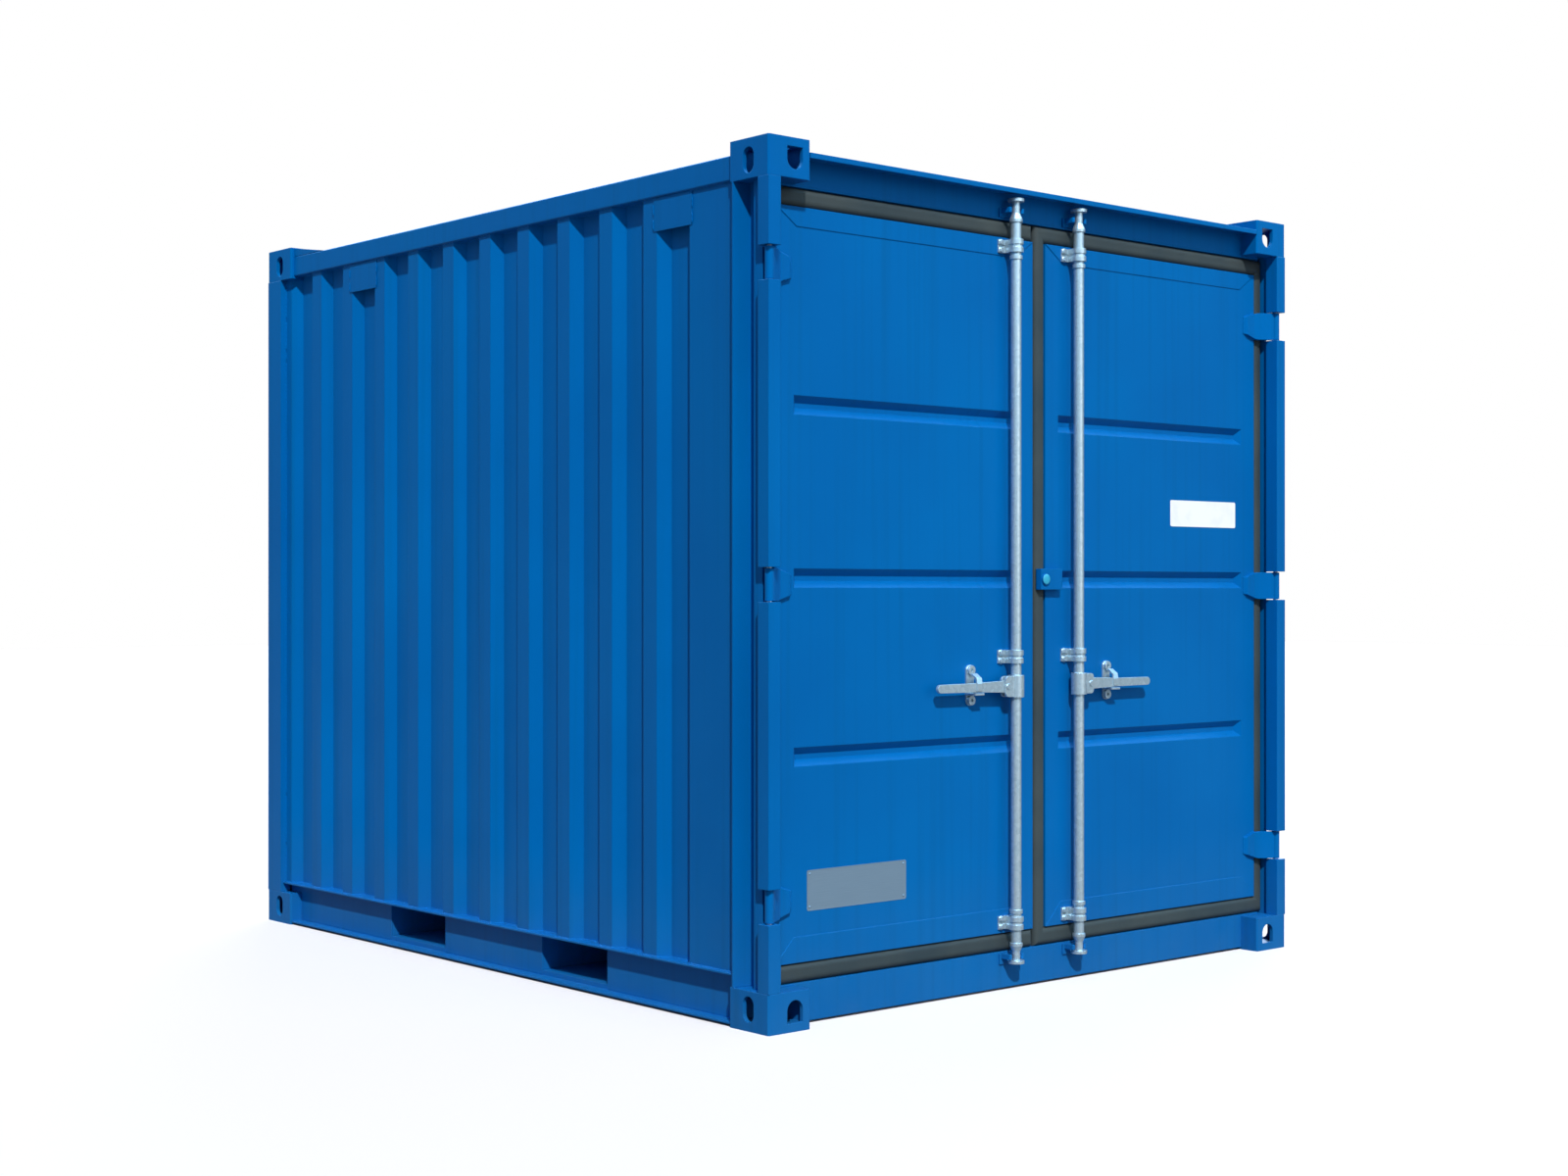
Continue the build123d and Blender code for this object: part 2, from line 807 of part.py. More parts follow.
def door_gasket(side, meeting, name):
    """The rubber seal round one leaf; meeting is its inner edge from the middle."""
    outer = side_plane - leaf_outer + gasket_cover
    low = frame_ledge + gasket_gap
    high = frame_lintel - gasket_gap
    with BuildPart() as gasket:
        xs = sorted((side * outer, side * meeting))
        box_between((xs[0], leaf_front, low), (xs[1], leaf_front + gasket_deep, high))
        leaf_xs = sorted((side * (side_plane - leaf_outer), side * leaf_centre))
        box_between(
            (leaf_xs[0], leaf_front - overcut, leaf_bottom),
            (leaf_xs[1], leaf_front + gasket_deep + overcut, leaf_top),
            Mode.SUBTRACT,
        )
    finish(gasket, name)


def door_hinges():
    """The left door's three hinge blades with their knuckles."""
    axis_x = -side_plane + hinge_axis
    axis_y = -end_plane + hinge_axis
    front = skin_front - blade_thick
    edge = -side_plane + leaf_outer
    tip = -side_plane + blade_reach
    with BuildPart() as hinges:
        for level in hinge_levels:
            with BuildSketch(Plane.XY.offset(level)):
                with BuildLine():
                    Polyline(
                        (axis_x, axis_y - knuckle_root),
                        (edge + blade_thick, front),
                        (tip - blade_thick, front),
                        (tip, skin_front),
                        (edge, skin_front),
                        (edge, leaf_front),
                        (axis_x, axis_y + knuckle_root),
                        close=True,
                    )
                make_face()
            extrude(amount=hinge_tall / 2, both=True)
        for level in hinge_levels:
            for hand in (-1, 1):
                with BuildSketch(Plane.XZ.offset(-skin_front)):
                    with BuildLine():
                        Polyline(
                            (edge, level + hand * hinge_tall / 2),
                            (tip + overcut, level + hand * blade_tip_tall / 2),
                            (tip + overcut, level + hand * (hinge_tall / 2 + overcut)),
                            (edge, level + hand * (hinge_tall / 2 + overcut)),
                            close=True,
                        )
                    make_face()
                extrude(amount=2 * blade_thick, both=True, mode=Mode.SUBTRACT)
            with BuildSketch(Plane.XY.offset(level)):
                with Locations((axis_x, axis_y)):
                    Circle(knuckle_radius)
            extrude(amount=hinge_tall / 2, both=True)
            with BuildSketch(Plane.XY.offset(level)):
                with Locations((axis_x, axis_y)):
                    Circle(pin_radius + pin_clearance)
            extrude(amount=hinge_tall / 2 + overcut, both=True, mode=Mode.SUBTRACT)
    return hinges


def rod_brackets():
    """The left door's brackets that carry the lock rod: a grooved plate and a ringed clamp."""
    with BuildPart() as brackets:
        for level, seat in zip(bracket_levels, (leaf_front, skin_front, leaf_front)):
            low = level - bracket_tall / 2
            high = level + bracket_tall / 2
            band = (bracket_tall - groove_tall) / 2
            box_between(
                (-rod_x - bracket_wide / 2, seat - plate_thick, low),
                (-rod_x + bracket_wide / 2, seat, high),
            )
            box_between(
                (-rod_x - bracket_wide / 2, seat - plate_thick, low + band),
                (-rod_x + bracket_wide / 2, seat - plate_thick + groove_deep, high - band),
                Mode.SUBTRACT,
            )
            for start, tall, radius in (
                (low, band, clamp_radius),
                (low + band, groove_tall, clamp_radius - groove_deep),
                (high - band, band, clamp_radius),
            ):
                with BuildSketch(Plane.XY.offset(start)):
                    with Locations((-rod_x, rod_line)):
                        Circle(radius)
                    with Locations((-rod_x, (rod_line + seat) / 2)):
                        Rectangle(clamp_neck, seat - rod_line)
                extrude(amount=tall)
            with BuildSketch(Plane.XY.offset(low - overcut)):
                with Locations((-rod_x, rod_line)):
                    Circle(rod_radius + rod_clearance)
            extrude(amount=bracket_tall + 2 * overcut, mode=Mode.SUBTRACT)
    return brackets


def handle_catch():
    """The left door's catch: a plate with an eyed lobe at each end and the handle's shelf."""
    high_lobe = (-catch_x, handle_level + lobe_above)
    low_lobe = (-catch_x, handle_level - lobe_below)
    plate_front = skin_front - plate_thick
    shelf_top = handle_level - grip_radius - shelf_gap
    with BuildPart() as catch:
        with BuildSketch(Plane.XZ.offset(-skin_front)):
            with Locations(((high_lobe[0], (high_lobe[1] + low_lobe[1]) / 2))):
                SlotCenterToCenter(lobe_above + lobe_below, catch_wide, rotation=90)
        extrude(amount=plate_thick)
        with BuildSketch(Plane.XZ.offset(-plate_front)):
            with Locations(high_lobe, low_lobe):
                Circle(lobe_radius)
                Circle(lobe_eye, mode=Mode.SUBTRACT)
        extrude(amount=lobe_tall)
        box_between(
            (-catch_x - shelf_wide / 2, plate_front - shelf_reach, shelf_top - shelf_thick),
            (-catch_x + shelf_wide / 2, plate_front, shelf_top),
        )
    return catch


def rod_solid(profile):
    """Add one turned solid about the left rod's axis, from (radius, level) corners."""
    with BuildSketch(Plane.XZ.offset(-rod_line)) as half:
        with BuildLine():
            Polyline([(-rod_x + radius, level) for radius, level in profile], close=True)
        make_face()
    revolve(half.sketch, axis=Axis((-rod_x, rod_line, 0), (0, 0, 1)))


def rod_end(tip, neck, hand):
    """Add one forged rod end, from its flange at the tip to the ring that takes the tube."""
    neck_end = tip + hand * neck
    ring_start = neck_end + hand * cone_tall
    ring_end = ring_start + hand * ring_tall
    rod_solid([
        (0, tip),
        (flange_radius, tip),
        (flange_radius, tip + hand * flange_tall),
        (neck_radius, tip + hand * flange_tall),
        (neck_radius, neck_end),
        (ring_radius, ring_start),
        (ring_radius, ring_end),
        (0, ring_end),
    ])


def rod_ends():
    """The left lock rod's two forged ends."""
    with BuildPart() as ends:
        rod_end(rod_bottom, neck_low, 1)
        rod_end(rod_top, neck_high, -1)
    return ends


def rod_band(low, high, radius):
    """Corners of one band round the rod as (radius, level) pairs."""
    return [(rod_radius, low), (radius, low), (radius, high), (rod_radius, high)]


def lock_rod():
    """The left lock rod between its ends: bar, collars, and the hub with the handle's two ears."""
    half_gap = handle_thick / 2 + handle_play
    low_collar = bracket_levels[0] + bracket_tall / 2 + collar_gap
    high_collar = bracket_levels[2] - bracket_tall / 2 - collar_gap
    start = rod_bottom + neck_low + cone_tall + ring_tall
    end = rod_top - neck_high - cone_tall - ring_tall
    profile = [
        (0, start),
        (rod_radius, start),
        *rod_band(low_collar, low_collar + collar_tall, ring_radius),
        *rod_band(handle_level - hub_tall / 2, handle_level + hub_tall / 2, hub_radius),
        *rod_band(high_collar - collar_tall, high_collar, ring_radius),
        (rod_radius, end),
        (0, end),
    ]
    ear_wide = ear_reach - ear_start
    with BuildPart() as rod:
        rod_solid(profile)
        for hand in (-1, 1):
            inner = rod_line + hand * half_gap
            outer = inner + hand * ear_thick
            with BuildSketch(Plane.XZ.offset(-inner)):
                with Locations((-rod_x - ear_start - ear_wide / 2, handle_level)):
                    RectangleRounded(ear_wide, ear_tall, ear_round)
            extrude(amount=-hand * ear_thick)
            with BuildSketch(Plane.XZ.offset(-outer)):
                with Locations((-rod_x - handle_pivot, handle_level)):
                    Circle(pin_head)
            extrude(amount=-hand * pin_head_tall)
        with BuildSketch(Plane.XZ.offset(-rod_line)):
            with Locations((-rod_x - handle_pivot, handle_level)):
                Circle(handle_pin)
        extrude(amount=half_gap + ear_thick, both=True)
    return rod


def lock_handle():
    """The left handle: a tapered bar on the rod's pin, with the strap that hooks in the catch."""
    eye = (-rod_x - handle_pivot, handle_level)
    grip = (-rod_x - grip_start, handle_level)
    tip = (-rod_x - handle_reach, handle_level)
    with BuildPart() as handle:
        for start, start_radius, end, end_radius in (
            (eye, eye_radius, grip, grip_radius),
            (grip, grip_radius, tip, tip_radius),
        ):
            with BuildSketch(Plane.XZ.offset(-rod_line)):
                with Locations(start):
                    Circle(start_radius)
                with Locations(end):
                    Circle(end_radius)
                make_hull()
            extrude(amount=handle_thick / 2, both=True)
        with BuildSketch(Plane.XZ.offset(-rod_line)):
            with Locations(eye):
                Circle(handle_pin + handle_play)
        extrude(amount=handle_thick, both=True, mode=Mode.SUBTRACT)
        with BuildSketch(Plane.YZ.offset(-catch_x - strap_wide / 2)):
            with BuildLine():
                Polyline([(-end_plane + back, handle_level + rise) for back, rise in strap_profile])
                offset(amount=strap_thick, side=Side.RIGHT, kind=Kind.INTERSECTION)
            make_face()
        extrude(amount=strap_wide)
    return handle


def centre_bracket():
    """The small bracket with a cap that covers the meeting edge from the right leaf."""
    left = leaf_centre - seal_left
    right = leaf_centre + seal_right
    low = swage_levels[1] - seal_tall / 2
    with BuildPart() as bracket:
        box_between((left, leaf_front - seal_deep, low), (right, leaf_front, low + seal_tall))
        box_between((leaf_centre, leaf_front, low), (right, skin_front, low + seal_tall))
        with BuildSketch(Plane.XZ.offset(-(leaf_front - seal_deep))):
            with Locations((leaf_centre - seal_cap_x, low + seal_tall / 2)):
                Circle(seal_cap_radius)
        extrude(amount=seal_cap_tall)
    finish(bracket, "centre_bracket")


os.makedirs("parts", exist_ok=True)

for end_name, end in (("front", -1), ("rear", 1)):
    for side_name, side in (("left", -1), ("right", 1)):
        corner_casting(side, end, True, f"{end_name}_{side_name}_top_casting")
        corner_casting(side, end, False, f"{end_name}_{side_name}_bottom_casting")

for maker, left_name, right_name in (
    (door_post, "front_left_post", "front_right_post"),
    (rear_post, "rear_left_post", "rear_right_post"),
    (side_wall, "side_wall_left", "side_wall_right"),
    (top_side_rail, "top_side_rail_left", "top_side_rail_right"),
    (bottom_side_rail, "bottom_side_rail_left", "bottom_side_rail_right"),
    (door_hinges, "left_door_hinges", "right_door_hinges"),
    (rod_brackets, "left_rod_brackets", "right_rod_brackets"),
    (handle_catch, "left_handle_catch", "right_handle_catch"),
    (lock_rod, "left_lock_rod", "right_lock_rod"),
    (rod_ends, "left_rod_ends", "right_rod_ends"),
    (lock_handle, "left_lock_handle", "right_lock_handle"),
):
    left_piece = maker()
    finish(left_piece, left_name)
    twin(left_piece, right_name)

rear_wall()
rear_rails()
door_header()
door_sill()
bottom_rail_webs()
roof_panel()
roof_end_plates()
floor_frame()
fork_pockets()
vent_covers()
hinge_pins()
rod_keepers()
door_panel(-1, "left_door_panel")
door_panel(1, "right_door_panel")
door_gasket(-1, leaf_centre, "left_door_gasket")
door_gasket(1, -gasket_meeting, "right_door_gasket")
centre_bracket()
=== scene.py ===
"""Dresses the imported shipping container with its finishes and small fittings, and lights it.

Metres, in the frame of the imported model: +X is the container's right seen from the doors, -Y is the
door end and +Z is up.
"""

import json
import logging
import math
from dataclasses import dataclass
from enum import Enum

import bmesh
import bpy
from mathutils import Matrix, Vector


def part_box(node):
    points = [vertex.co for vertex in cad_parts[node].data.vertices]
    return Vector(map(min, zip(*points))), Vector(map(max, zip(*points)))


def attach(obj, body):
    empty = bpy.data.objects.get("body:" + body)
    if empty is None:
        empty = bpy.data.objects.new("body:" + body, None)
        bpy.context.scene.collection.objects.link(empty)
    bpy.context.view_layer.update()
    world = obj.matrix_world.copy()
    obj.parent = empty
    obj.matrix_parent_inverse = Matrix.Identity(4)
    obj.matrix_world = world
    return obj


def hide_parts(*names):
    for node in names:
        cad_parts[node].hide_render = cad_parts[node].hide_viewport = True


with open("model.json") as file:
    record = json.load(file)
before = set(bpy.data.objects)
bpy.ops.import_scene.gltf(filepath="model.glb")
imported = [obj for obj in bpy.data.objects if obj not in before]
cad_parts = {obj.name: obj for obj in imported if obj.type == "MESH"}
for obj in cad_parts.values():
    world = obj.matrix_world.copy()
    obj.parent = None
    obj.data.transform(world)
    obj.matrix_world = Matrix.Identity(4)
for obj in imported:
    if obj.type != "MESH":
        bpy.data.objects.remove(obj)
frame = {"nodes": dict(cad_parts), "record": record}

log = logging.getLogger("container")

FEW_OCTAVES = 1.0
SOME_OCTAVES = 4.0
MANY_OCTAVES = 6.0
BEVEL_SAMPLES = 4
MIXED_COLOUR = 2
MERGE_DISTANCE = 0.00005
QUARTER_TURN = math.radians(90)

# The sRGB curve: a straight toe, then a power.
SRGB_TOE = 0.04045
SRGB_TOE_SLOPE = 12.92
SRGB_LIFT = 0.055
SRGB_POWER = 2.4


class Side(Enum):
    """The two door leaves, seen from the front."""

    LEFT = "left"
    RIGHT = "right"

    @property
    def hand(self) -> int:
        """Minus one on the left and one on the right."""
        return -1 if self is Side.LEFT else 1


class Slot(Enum):
    """The record's material slots."""

    PAINT = "blue_paint"
    RUBBER = "gasket_rubber"
    GALVANISED = "galvanised_steel"
    PLYWOOD = "floor_plywood"


def to_linear(code: str) -> tuple[float, float, float, float]:
    """Turns an sRGB hex colour to the linear RGBA that a shader takes.

    Args:
        code: Six hex digits, with or without a leading hash.

    Returns:
        The linear red, green, blue and an alpha of one.
    """
    digits = code.lstrip("#")
    values = [int(digits[start:start + 2], 16) / 255 for start in (0, 2, 4)]
    linear = [
        value / SRGB_TOE_SLOPE if value <= SRGB_TOE
        else ((value + SRGB_LIFT) / (1 + SRGB_LIFT)) ** SRGB_POWER
        for value in values
    ]
    return (*linear, 1.0)


def add_node(
    tree: bpy.types.NodeTree, kind: str, inputs: dict | None = None, **settings: object
) -> bpy.types.Node:
    """Adds one shader node with its settings, values and links.

    Args:
        tree: The node tree that takes it.
        kind: The node's type name.
        inputs: Socket name or index to a value, or to the output socket that feeds it.
        settings: Properties of the node itself.

    Returns:
        The new node.
    """
    node = tree.nodes.new(kind)
    for name, value in settings.items():
        setattr(node, name, value)
    for key, value in (inputs or {}).items():
        if isinstance(value, bpy.types.NodeSocket):
            tree.links.new(value, node.inputs[key])
        else:
            node.inputs[key].default_value = value
    return node


def new_tree(name: str) -> tuple[bpy.types.Material, bpy.types.NodeTree, bpy.types.NodeSocket]:
    """Makes an empty material.

    Args:
        name: The material's name.

    Returns:
        The material, its node tree and the Object coordinates.
    """
    made = bpy.data.materials.new(name)
    made.use_nodes = True
    tree = made.node_tree
    tree.nodes.clear()
    place = add_node(tree, "ShaderNodeTexCoord").outputs["Object"]
    return made, tree, place


@dataclass(frozen=True)
class SatinAlkydPaint:
    """Sprayed satin alkyd paint over primed steel.

    An even coat with a soft, wide gleam, slight clouding from the spray passes, faint rain streaks,
    a little road dust low down and rounded edges that catch the light.
    """

    name: str = "satin_alkyd_paint"
    colour: str = "#0061A4"
    deep_colour: str = "#00599A"
    streak_colour: str = "#03548A"
    dust_colour: str = "#55707E"
    roughness_low: float = 0.34
    roughness_high: float = 0.46
    specular: float = 0.22
    specular_tint: str = "#3FA0FF"
    cloud_size: float = 0.7
    cloud_from: float = 0.35
    cloud_to: float = 0.7
    streak_width: float = 0.028
    streak_length: float = 1.6
    streak_from: float = 0.5
    streak_to: float = 0.78
    streak_most: float = 0.5
    dust_height: float = 0.42
    dust_grain: float = 0.11
    dust_most: float = 0.16
    # The peel is about 1 mm across on the real paint, and is drawn coarser so that it shows.
    peel_size: float = 0.006
    peel_depth: float = 0.00004
    buckle_size: float = 0.38
    buckle_depth: float = 0.0022
    edge_radius: float = 0.0035

    def material(self) -> bpy.types.Material:
        """Builds the paint's material.

        Returns:
            The new material.
        """
        made, tree, place = new_tree(self.name)
        clouds = add_node(
            tree,
            "ShaderNodeTexNoise",
            {"Vector": place, "Scale": 1 / self.cloud_size, "Detail": SOME_OCTAVES},
        ).outputs["Fac"]
        share = add_node(
            tree,
            "ShaderNodeMapRange",
            {"Value": clouds, "From Min": self.cloud_from, "From Max": self.cloud_to},
        )
        base = add_node(
            tree,
            "ShaderNodeMix",
            {
                "Factor": share.outputs["Result"],
                "A": to_linear(self.colour),
                "B": to_linear(self.deep_colour),
            },
            data_type="RGBA",
        )
        streaked = self.add_streaks(tree, place, base.outputs[MIXED_COLOUR])
        dusty = self.add_dust(tree, place, streaked)
        roughness = add_node(
            tree,
            "ShaderNodeMapRange",
            {
                "Value": clouds,
                "From Min": self.cloud_from,
                "From Max": self.cloud_to,
                "To Min": self.roughness_low,
                "To Max": self.roughness_high,
            },
        )
        shader = add_node(
            tree,
            "ShaderNodeBsdfPrincipled",
            {
                "Base Color": dusty,
                "Roughness": roughness.outputs["Result"],
                "Specular IOR Level": self.specular,
                "Specular Tint": to_linear(self.specular_tint),
                "Normal": self.add_relief(tree, place),
            },
        )
        add_node(tree, "ShaderNodeOutputMaterial", {"Surface": shader.outputs["BSDF"]})
        return made

    def add_streaks(
        self, tree: bpy.types.NodeTree, place: bpy.types.NodeSocket, base: bpy.types.NodeSocket
    ) -> bpy.types.NodeSocket:
        """Adds the faint streaks that rain leaves down the sheets.

        Args:
            tree: The paint's node tree.
            place: The Object coordinates.
            base: The colour under the streaks.

        Returns:
            The streaked colour.
        """
        along = (1 / self.streak_width, 1 / self.streak_width, 1 / self.streak_length)
        stretched = add_node(tree, "ShaderNodeMapping", {"Vector": place, "Scale": along})
        noise = add_node(
            tree,
            "ShaderNodeTexNoise",
            {"Vector": stretched.outputs["Vector"], "Scale": 1.0, "Detail": SOME_OCTAVES},
        )
        share = add_node(
            tree,
            "ShaderNodeMapRange",
            {
                "Value": noise.outputs["Fac"],
                "From Min": self.streak_from,
                "From Max": self.streak_to,
                "To Max": self.streak_most,
            },
        )
        mixed = add_node(
            tree,
            "ShaderNodeMix",
            {
                "Factor": share.outputs["Result"],
                "A": base,
                "B": to_linear(self.streak_colour),
            },
            data_type="RGBA",
        )
        return mixed.outputs[MIXED_COLOUR]

    def add_dust(
        self, tree: bpy.types.NodeTree, place: bpy.types.NodeSocket, base: bpy.types.NodeSocket
    ) -> bpy.types.NodeSocket:
        """Adds a little road dust low down.

        Args:
            tree: The paint's node tree.
            place: The Object coordinates.
            base: The colour under the dust.

        Returns:
            The dusty colour.
        """
        level = add_node(tree, "ShaderNodeSeparateXYZ", {"Vector": place}).outputs["Z"]
        low = add_node(
            tree,
            "ShaderNodeMapRange",
            {"Value": level, "From Max": self.dust_height, "To Min": self.dust_most, "To Max": 0.0},
        )
        grain = add_node(
            tree,
            "ShaderNodeTexNoise",
            {"Vector": place, "Scale": 1 / self.dust_grain, "Detail": MANY_OCTAVES},
        )
        share = add_node(
            tree,
            "ShaderNodeMath",
            {0: low.outputs["Result"], 1: grain.outputs["Fac"]},
            operation="MULTIPLY",
        )
        mixed = add_node(
            tree,
            "ShaderNodeMix",
            {"Factor": share.outputs["Value"], "A": base, "B": to_linear(self.dust_colour)},
            data_type="RGBA",
        )
        return mixed.outputs[MIXED_COLOUR]

    def add_relief(
        self, tree: bpy.types.NodeTree, place: bpy.types.NodeSocket
    ) -> bpy.types.NodeSocket:
        """Adds rounded edges, the sheets' slight buckling and the spray's peel.

        Args:
            tree: The paint's node tree.
            place: The Object coordinates.

        Returns:
            The normal that carries them.
        """
        normal = add_node(
            tree, "ShaderNodeBevel", {"Radius": self.edge_radius}, samples=BEVEL_SAMPLES
        ).outputs["Normal"]
        for size, depth in (
            (self.buckle_size, self.buckle_depth),
            (self.peel_size, self.peel_depth),
        ):
            waves = add_node(
                tree,
                "ShaderNodeTexNoise",
                {"Vector": place, "Scale": 1 / size, "Detail": FEW_OCTAVES},
            )
            normal = add_node(
                tree,
                "ShaderNodeBump",
                {"Height": waves.outputs["Fac"], "Distance": depth, "Normal": normal},
            ).outputs["Normal"]
        return normal


@dataclass(frozen=True)
class HotDipGalvanisedSteel:
    """Steel dipped in zinc: a pale grey in crystals, dulled by weather."""

    name: str = "hot_dip_galvanised_steel"
    light_colour: str = "#BECDD3"
    dark_colour: str = "#A8B8BF"
    crystal_size: float = 0.012
    metallic: float = 0.68
    roughness_low: float = 0.28
    roughness_high: float = 0.38
    crystal_depth: float = 0.00004
    edge_radius: float = 0.0015

    def material(self) -> bpy.types.Material:
        """Builds the zinc coat's material.

        Returns:
            The new material.
        """
        made, tree, place = new_tree(self.name)
        crystals = add_node(
            tree, "ShaderNodeTexVoronoi", {"Vector": place, "Scale": 1 / self.crystal_size}
        )
        shade = add_node(tree, "ShaderNodeSeparateColor", {"Color": crystals.outputs["Color"]})
        tone = shade.outputs["Red"]
        base = add_node(
            tree,
            "ShaderNodeMix",
            {"Factor": tone, "A": to_linear(self.light_colour), "B": to_linear(self.dark_colour)},
            data_type="RGBA",
        )
        roughness = add_node(
            tree,
            "ShaderNodeMapRange",
            {"Value": tone, "To Min": self.roughness_low, "To Max": self.roughness_high},
        )
        edge = add_node(
            tree, "ShaderNodeBevel", {"Radius": self.edge_radius}, samples=BEVEL_SAMPLES
        )
        bump = add_node(
            tree,
            "ShaderNodeBump",
            {"Height": tone, "Distance": self.crystal_depth, "Normal": edge.outputs["Normal"]},
        )
        shader = add_node(
            tree,
            "ShaderNodeBsdfPrincipled",
            {
                "Base Color": base.outputs[MIXED_COLOUR],
                "Metallic": self.metallic,
                "Roughness": roughness.outputs["Result"],
                "Normal": bump.outputs["Normal"],
            },
        )
        add_node(tree, "ShaderNodeOutputMaterial", {"Surface": shader.outputs["BSDF"]})
        return made


@dataclass(frozen=True)
class ExtrudedRubber:
    """Extruded door seal rubber: a matt grey black, chalky from sun, with a fine die grain."""

    name: str = "extruded_seal_rubber"
    colour: str = "#263033"
    chalk_colour: str = "#3E4340"
    chalk_size: float = 0.3
    chalk_from: float = 0.35
    chalk_to: float = 0.8
    # The die leaves a grain of about 0.3 mm, and it is drawn coarser so that it shows.
    grain_size: float = 0.002
    grain_depth: float = 0.0001
    roughness: float = 0.72
    specular: float = 0.3

    def material(self) -> bpy.types.Material:
        """Builds the rubber's material.

        Returns:
            The new material.
        """
        made, tree, place = new_tree(self.name)
        chalk = add_node(
            tree,
            "ShaderNodeTexNoise",
            {"Vector": place, "Scale": 1 / self.chalk_size, "Detail": MANY_OCTAVES},
        )
        share = add_node(
            tree,
            "ShaderNodeMapRange",
            {
                "Value": chalk.outputs["Fac"],
                "From Min": self.chalk_from,
                "From Max": self.chalk_to,
            },
        )
        base = add_node(
            tree,
            "ShaderNodeMix",
            {
                "Factor": share.outputs["Result"],
                "A": to_linear(self.colour),
                "B": to_linear(self.chalk_colour),
            },
            data_type="RGBA",
        )
        grain = add_node(
            tree,
            "ShaderNodeTexNoise",
            {"Vector": place, "Scale": 1 / self.grain_size, "Detail": FEW_OCTAVES},
        )
        bump = add_node(
            tree, "ShaderNodeBump", {"Height": grain.outputs["Fac"], "Distance": self.grain_depth}
        )
        shader = add_node(
            tree,
            "ShaderNodeBsdfPrincipled",
            {
                "Base Color": base.outputs[MIXED_COLOUR],
                "Roughness": self.roughness,
                "Specular IOR Level": self.specular,
                "Normal": bump.outputs["Normal"],
            },
        )
        add_node(tree, "ShaderNodeOutputMaterial", {"Surface": shader.outputs["BSDF"]})
        return made


@dataclass(frozen=True)
class SealedPlywood:
    """Film-sealed hardwood plywood: a dull red brown with long grain and worn wheel tracks."""

    name: str = "sealed_plywood"
    colour: str = "#7A4E2E"
    grain_colour: str = "#4E2F1B"
    worn_colour: str = "#A37B55"
    grain_width: float = 0.006
    grain_length: float = 0.5
    grain_depth: float = 0.0004
    wear_size: float = 0.4
    wear_from: float = 0.5
    wear_to: float = 0.8
    wear_most: float = 0.55
    roughness: float = 0.62

    def material(self) -> bpy.types.Material:
        """Builds the boards' material.

        Returns:
            The new material.
        """
        made, tree, place = new_tree(self.name)
        along = (1 / self.grain_width, 1 / self.grain_length, 1 / self.grain_width)
        stretched = add_node(tree, "ShaderNodeMapping", {"Vector": place, "Scale": along})
        grain = add_node(
            tree,
            "ShaderNodeTexNoise",
            {"Vector": stretched.outputs["Vector"], "Scale": 1.0, "Detail": SOME_OCTAVES},
        )
        base = add_node(
            tree,
            "ShaderNodeMix",
            {
                "Factor": grain.outputs["Fac"],
                "A": to_linear(self.colour),
                "B": to_linear(self.grain_colour),
            },
            data_type="RGBA",
        )
        wear = add_node(
            tree,
            "ShaderNodeTexNoise",
            {"Vector": place, "Scale": 1 / self.wear_size, "Detail": MANY_OCTAVES},
        )
        share = add_node(
            tree,
            "ShaderNodeMapRange",
            {
                "Value": wear.outputs["Fac"],
                "From Min": self.wear_from,
                "From Max": self.wear_to,
                "To Max": self.wear_most,
            },
        )
        worn = add_node(
            tree,
            "ShaderNodeMix",
            {
                "Factor": share.outputs["Result"],
                "A": base.outputs[MIXED_COLOUR],
                "B": to_linear(self.worn_colour),
            },
            data_type="RGBA",
        )
        bump = add_node(
            tree, "ShaderNodeBump", {"Height": grain.outputs["Fac"], "Distance": self.grain_depth}
        )
        shader = add_node(
            tree,
            "ShaderNodeBsdfPrincipled",
            {
                "Base Color": worn.outputs[MIXED_COLOUR],
                "Roughness": self.roughness,
                "Normal": bump.outputs["Normal"],
            },
        )
        add_node(tree, "ShaderNodeOutputMaterial", {"Surface": shader.outputs["BSDF"]})
        return made


@dataclass(frozen=True)
class BrushedAluminium:
    """Brushed aluminium sheet: fine level brush lines that spread the light sideways."""

    name: str = "brushed_aluminium"
    colour: str = "#7F94A3"
    line_colour: str = "#6D8292"
    line_length: float = 0.09
    # Brush lines are about 0.1 mm wide, and are drawn coarser so that they show.
    line_width: float = 0.0016
    metallic: float = 0.45
    roughness: float = 0.42

    def material(self) -> bpy.types.Material:
        """Builds the brushed sheet's material.

        Returns:
            The new material.
        """
        made, tree, place = new_tree(self.name)
        along = (1 / self.line_length, 1 / self.line_width, 1 / self.line_width)
        stretched = add_node(tree, "ShaderNodeMapping", {"Vector": place, "Scale": along})
        lines = add_node(
            tree,
            "ShaderNodeTexNoise",
            {"Vector": stretched.outputs["Vector"], "Scale": 1.0, "Detail": SOME_OCTAVES},
        )
        base = add_node(
            tree,
            "ShaderNodeMix",
            {
                "Factor": lines.outputs["Fac"],
                "A": to_linear(self.colour),
                "B": to_linear(self.line_colour),
            },
            data_type="RGBA",
        )
        shader = add_node(
            tree,
            "ShaderNodeBsdfPrincipled",
            {
                "Base Color": base.outputs[MIXED_COLOUR],
                "Metallic": self.metallic,
                "Roughness": self.roughness,
            },
        )
        add_node(tree, "ShaderNodeOutputMaterial", {"Surface": shader.outputs["BSDF"]})
        return made


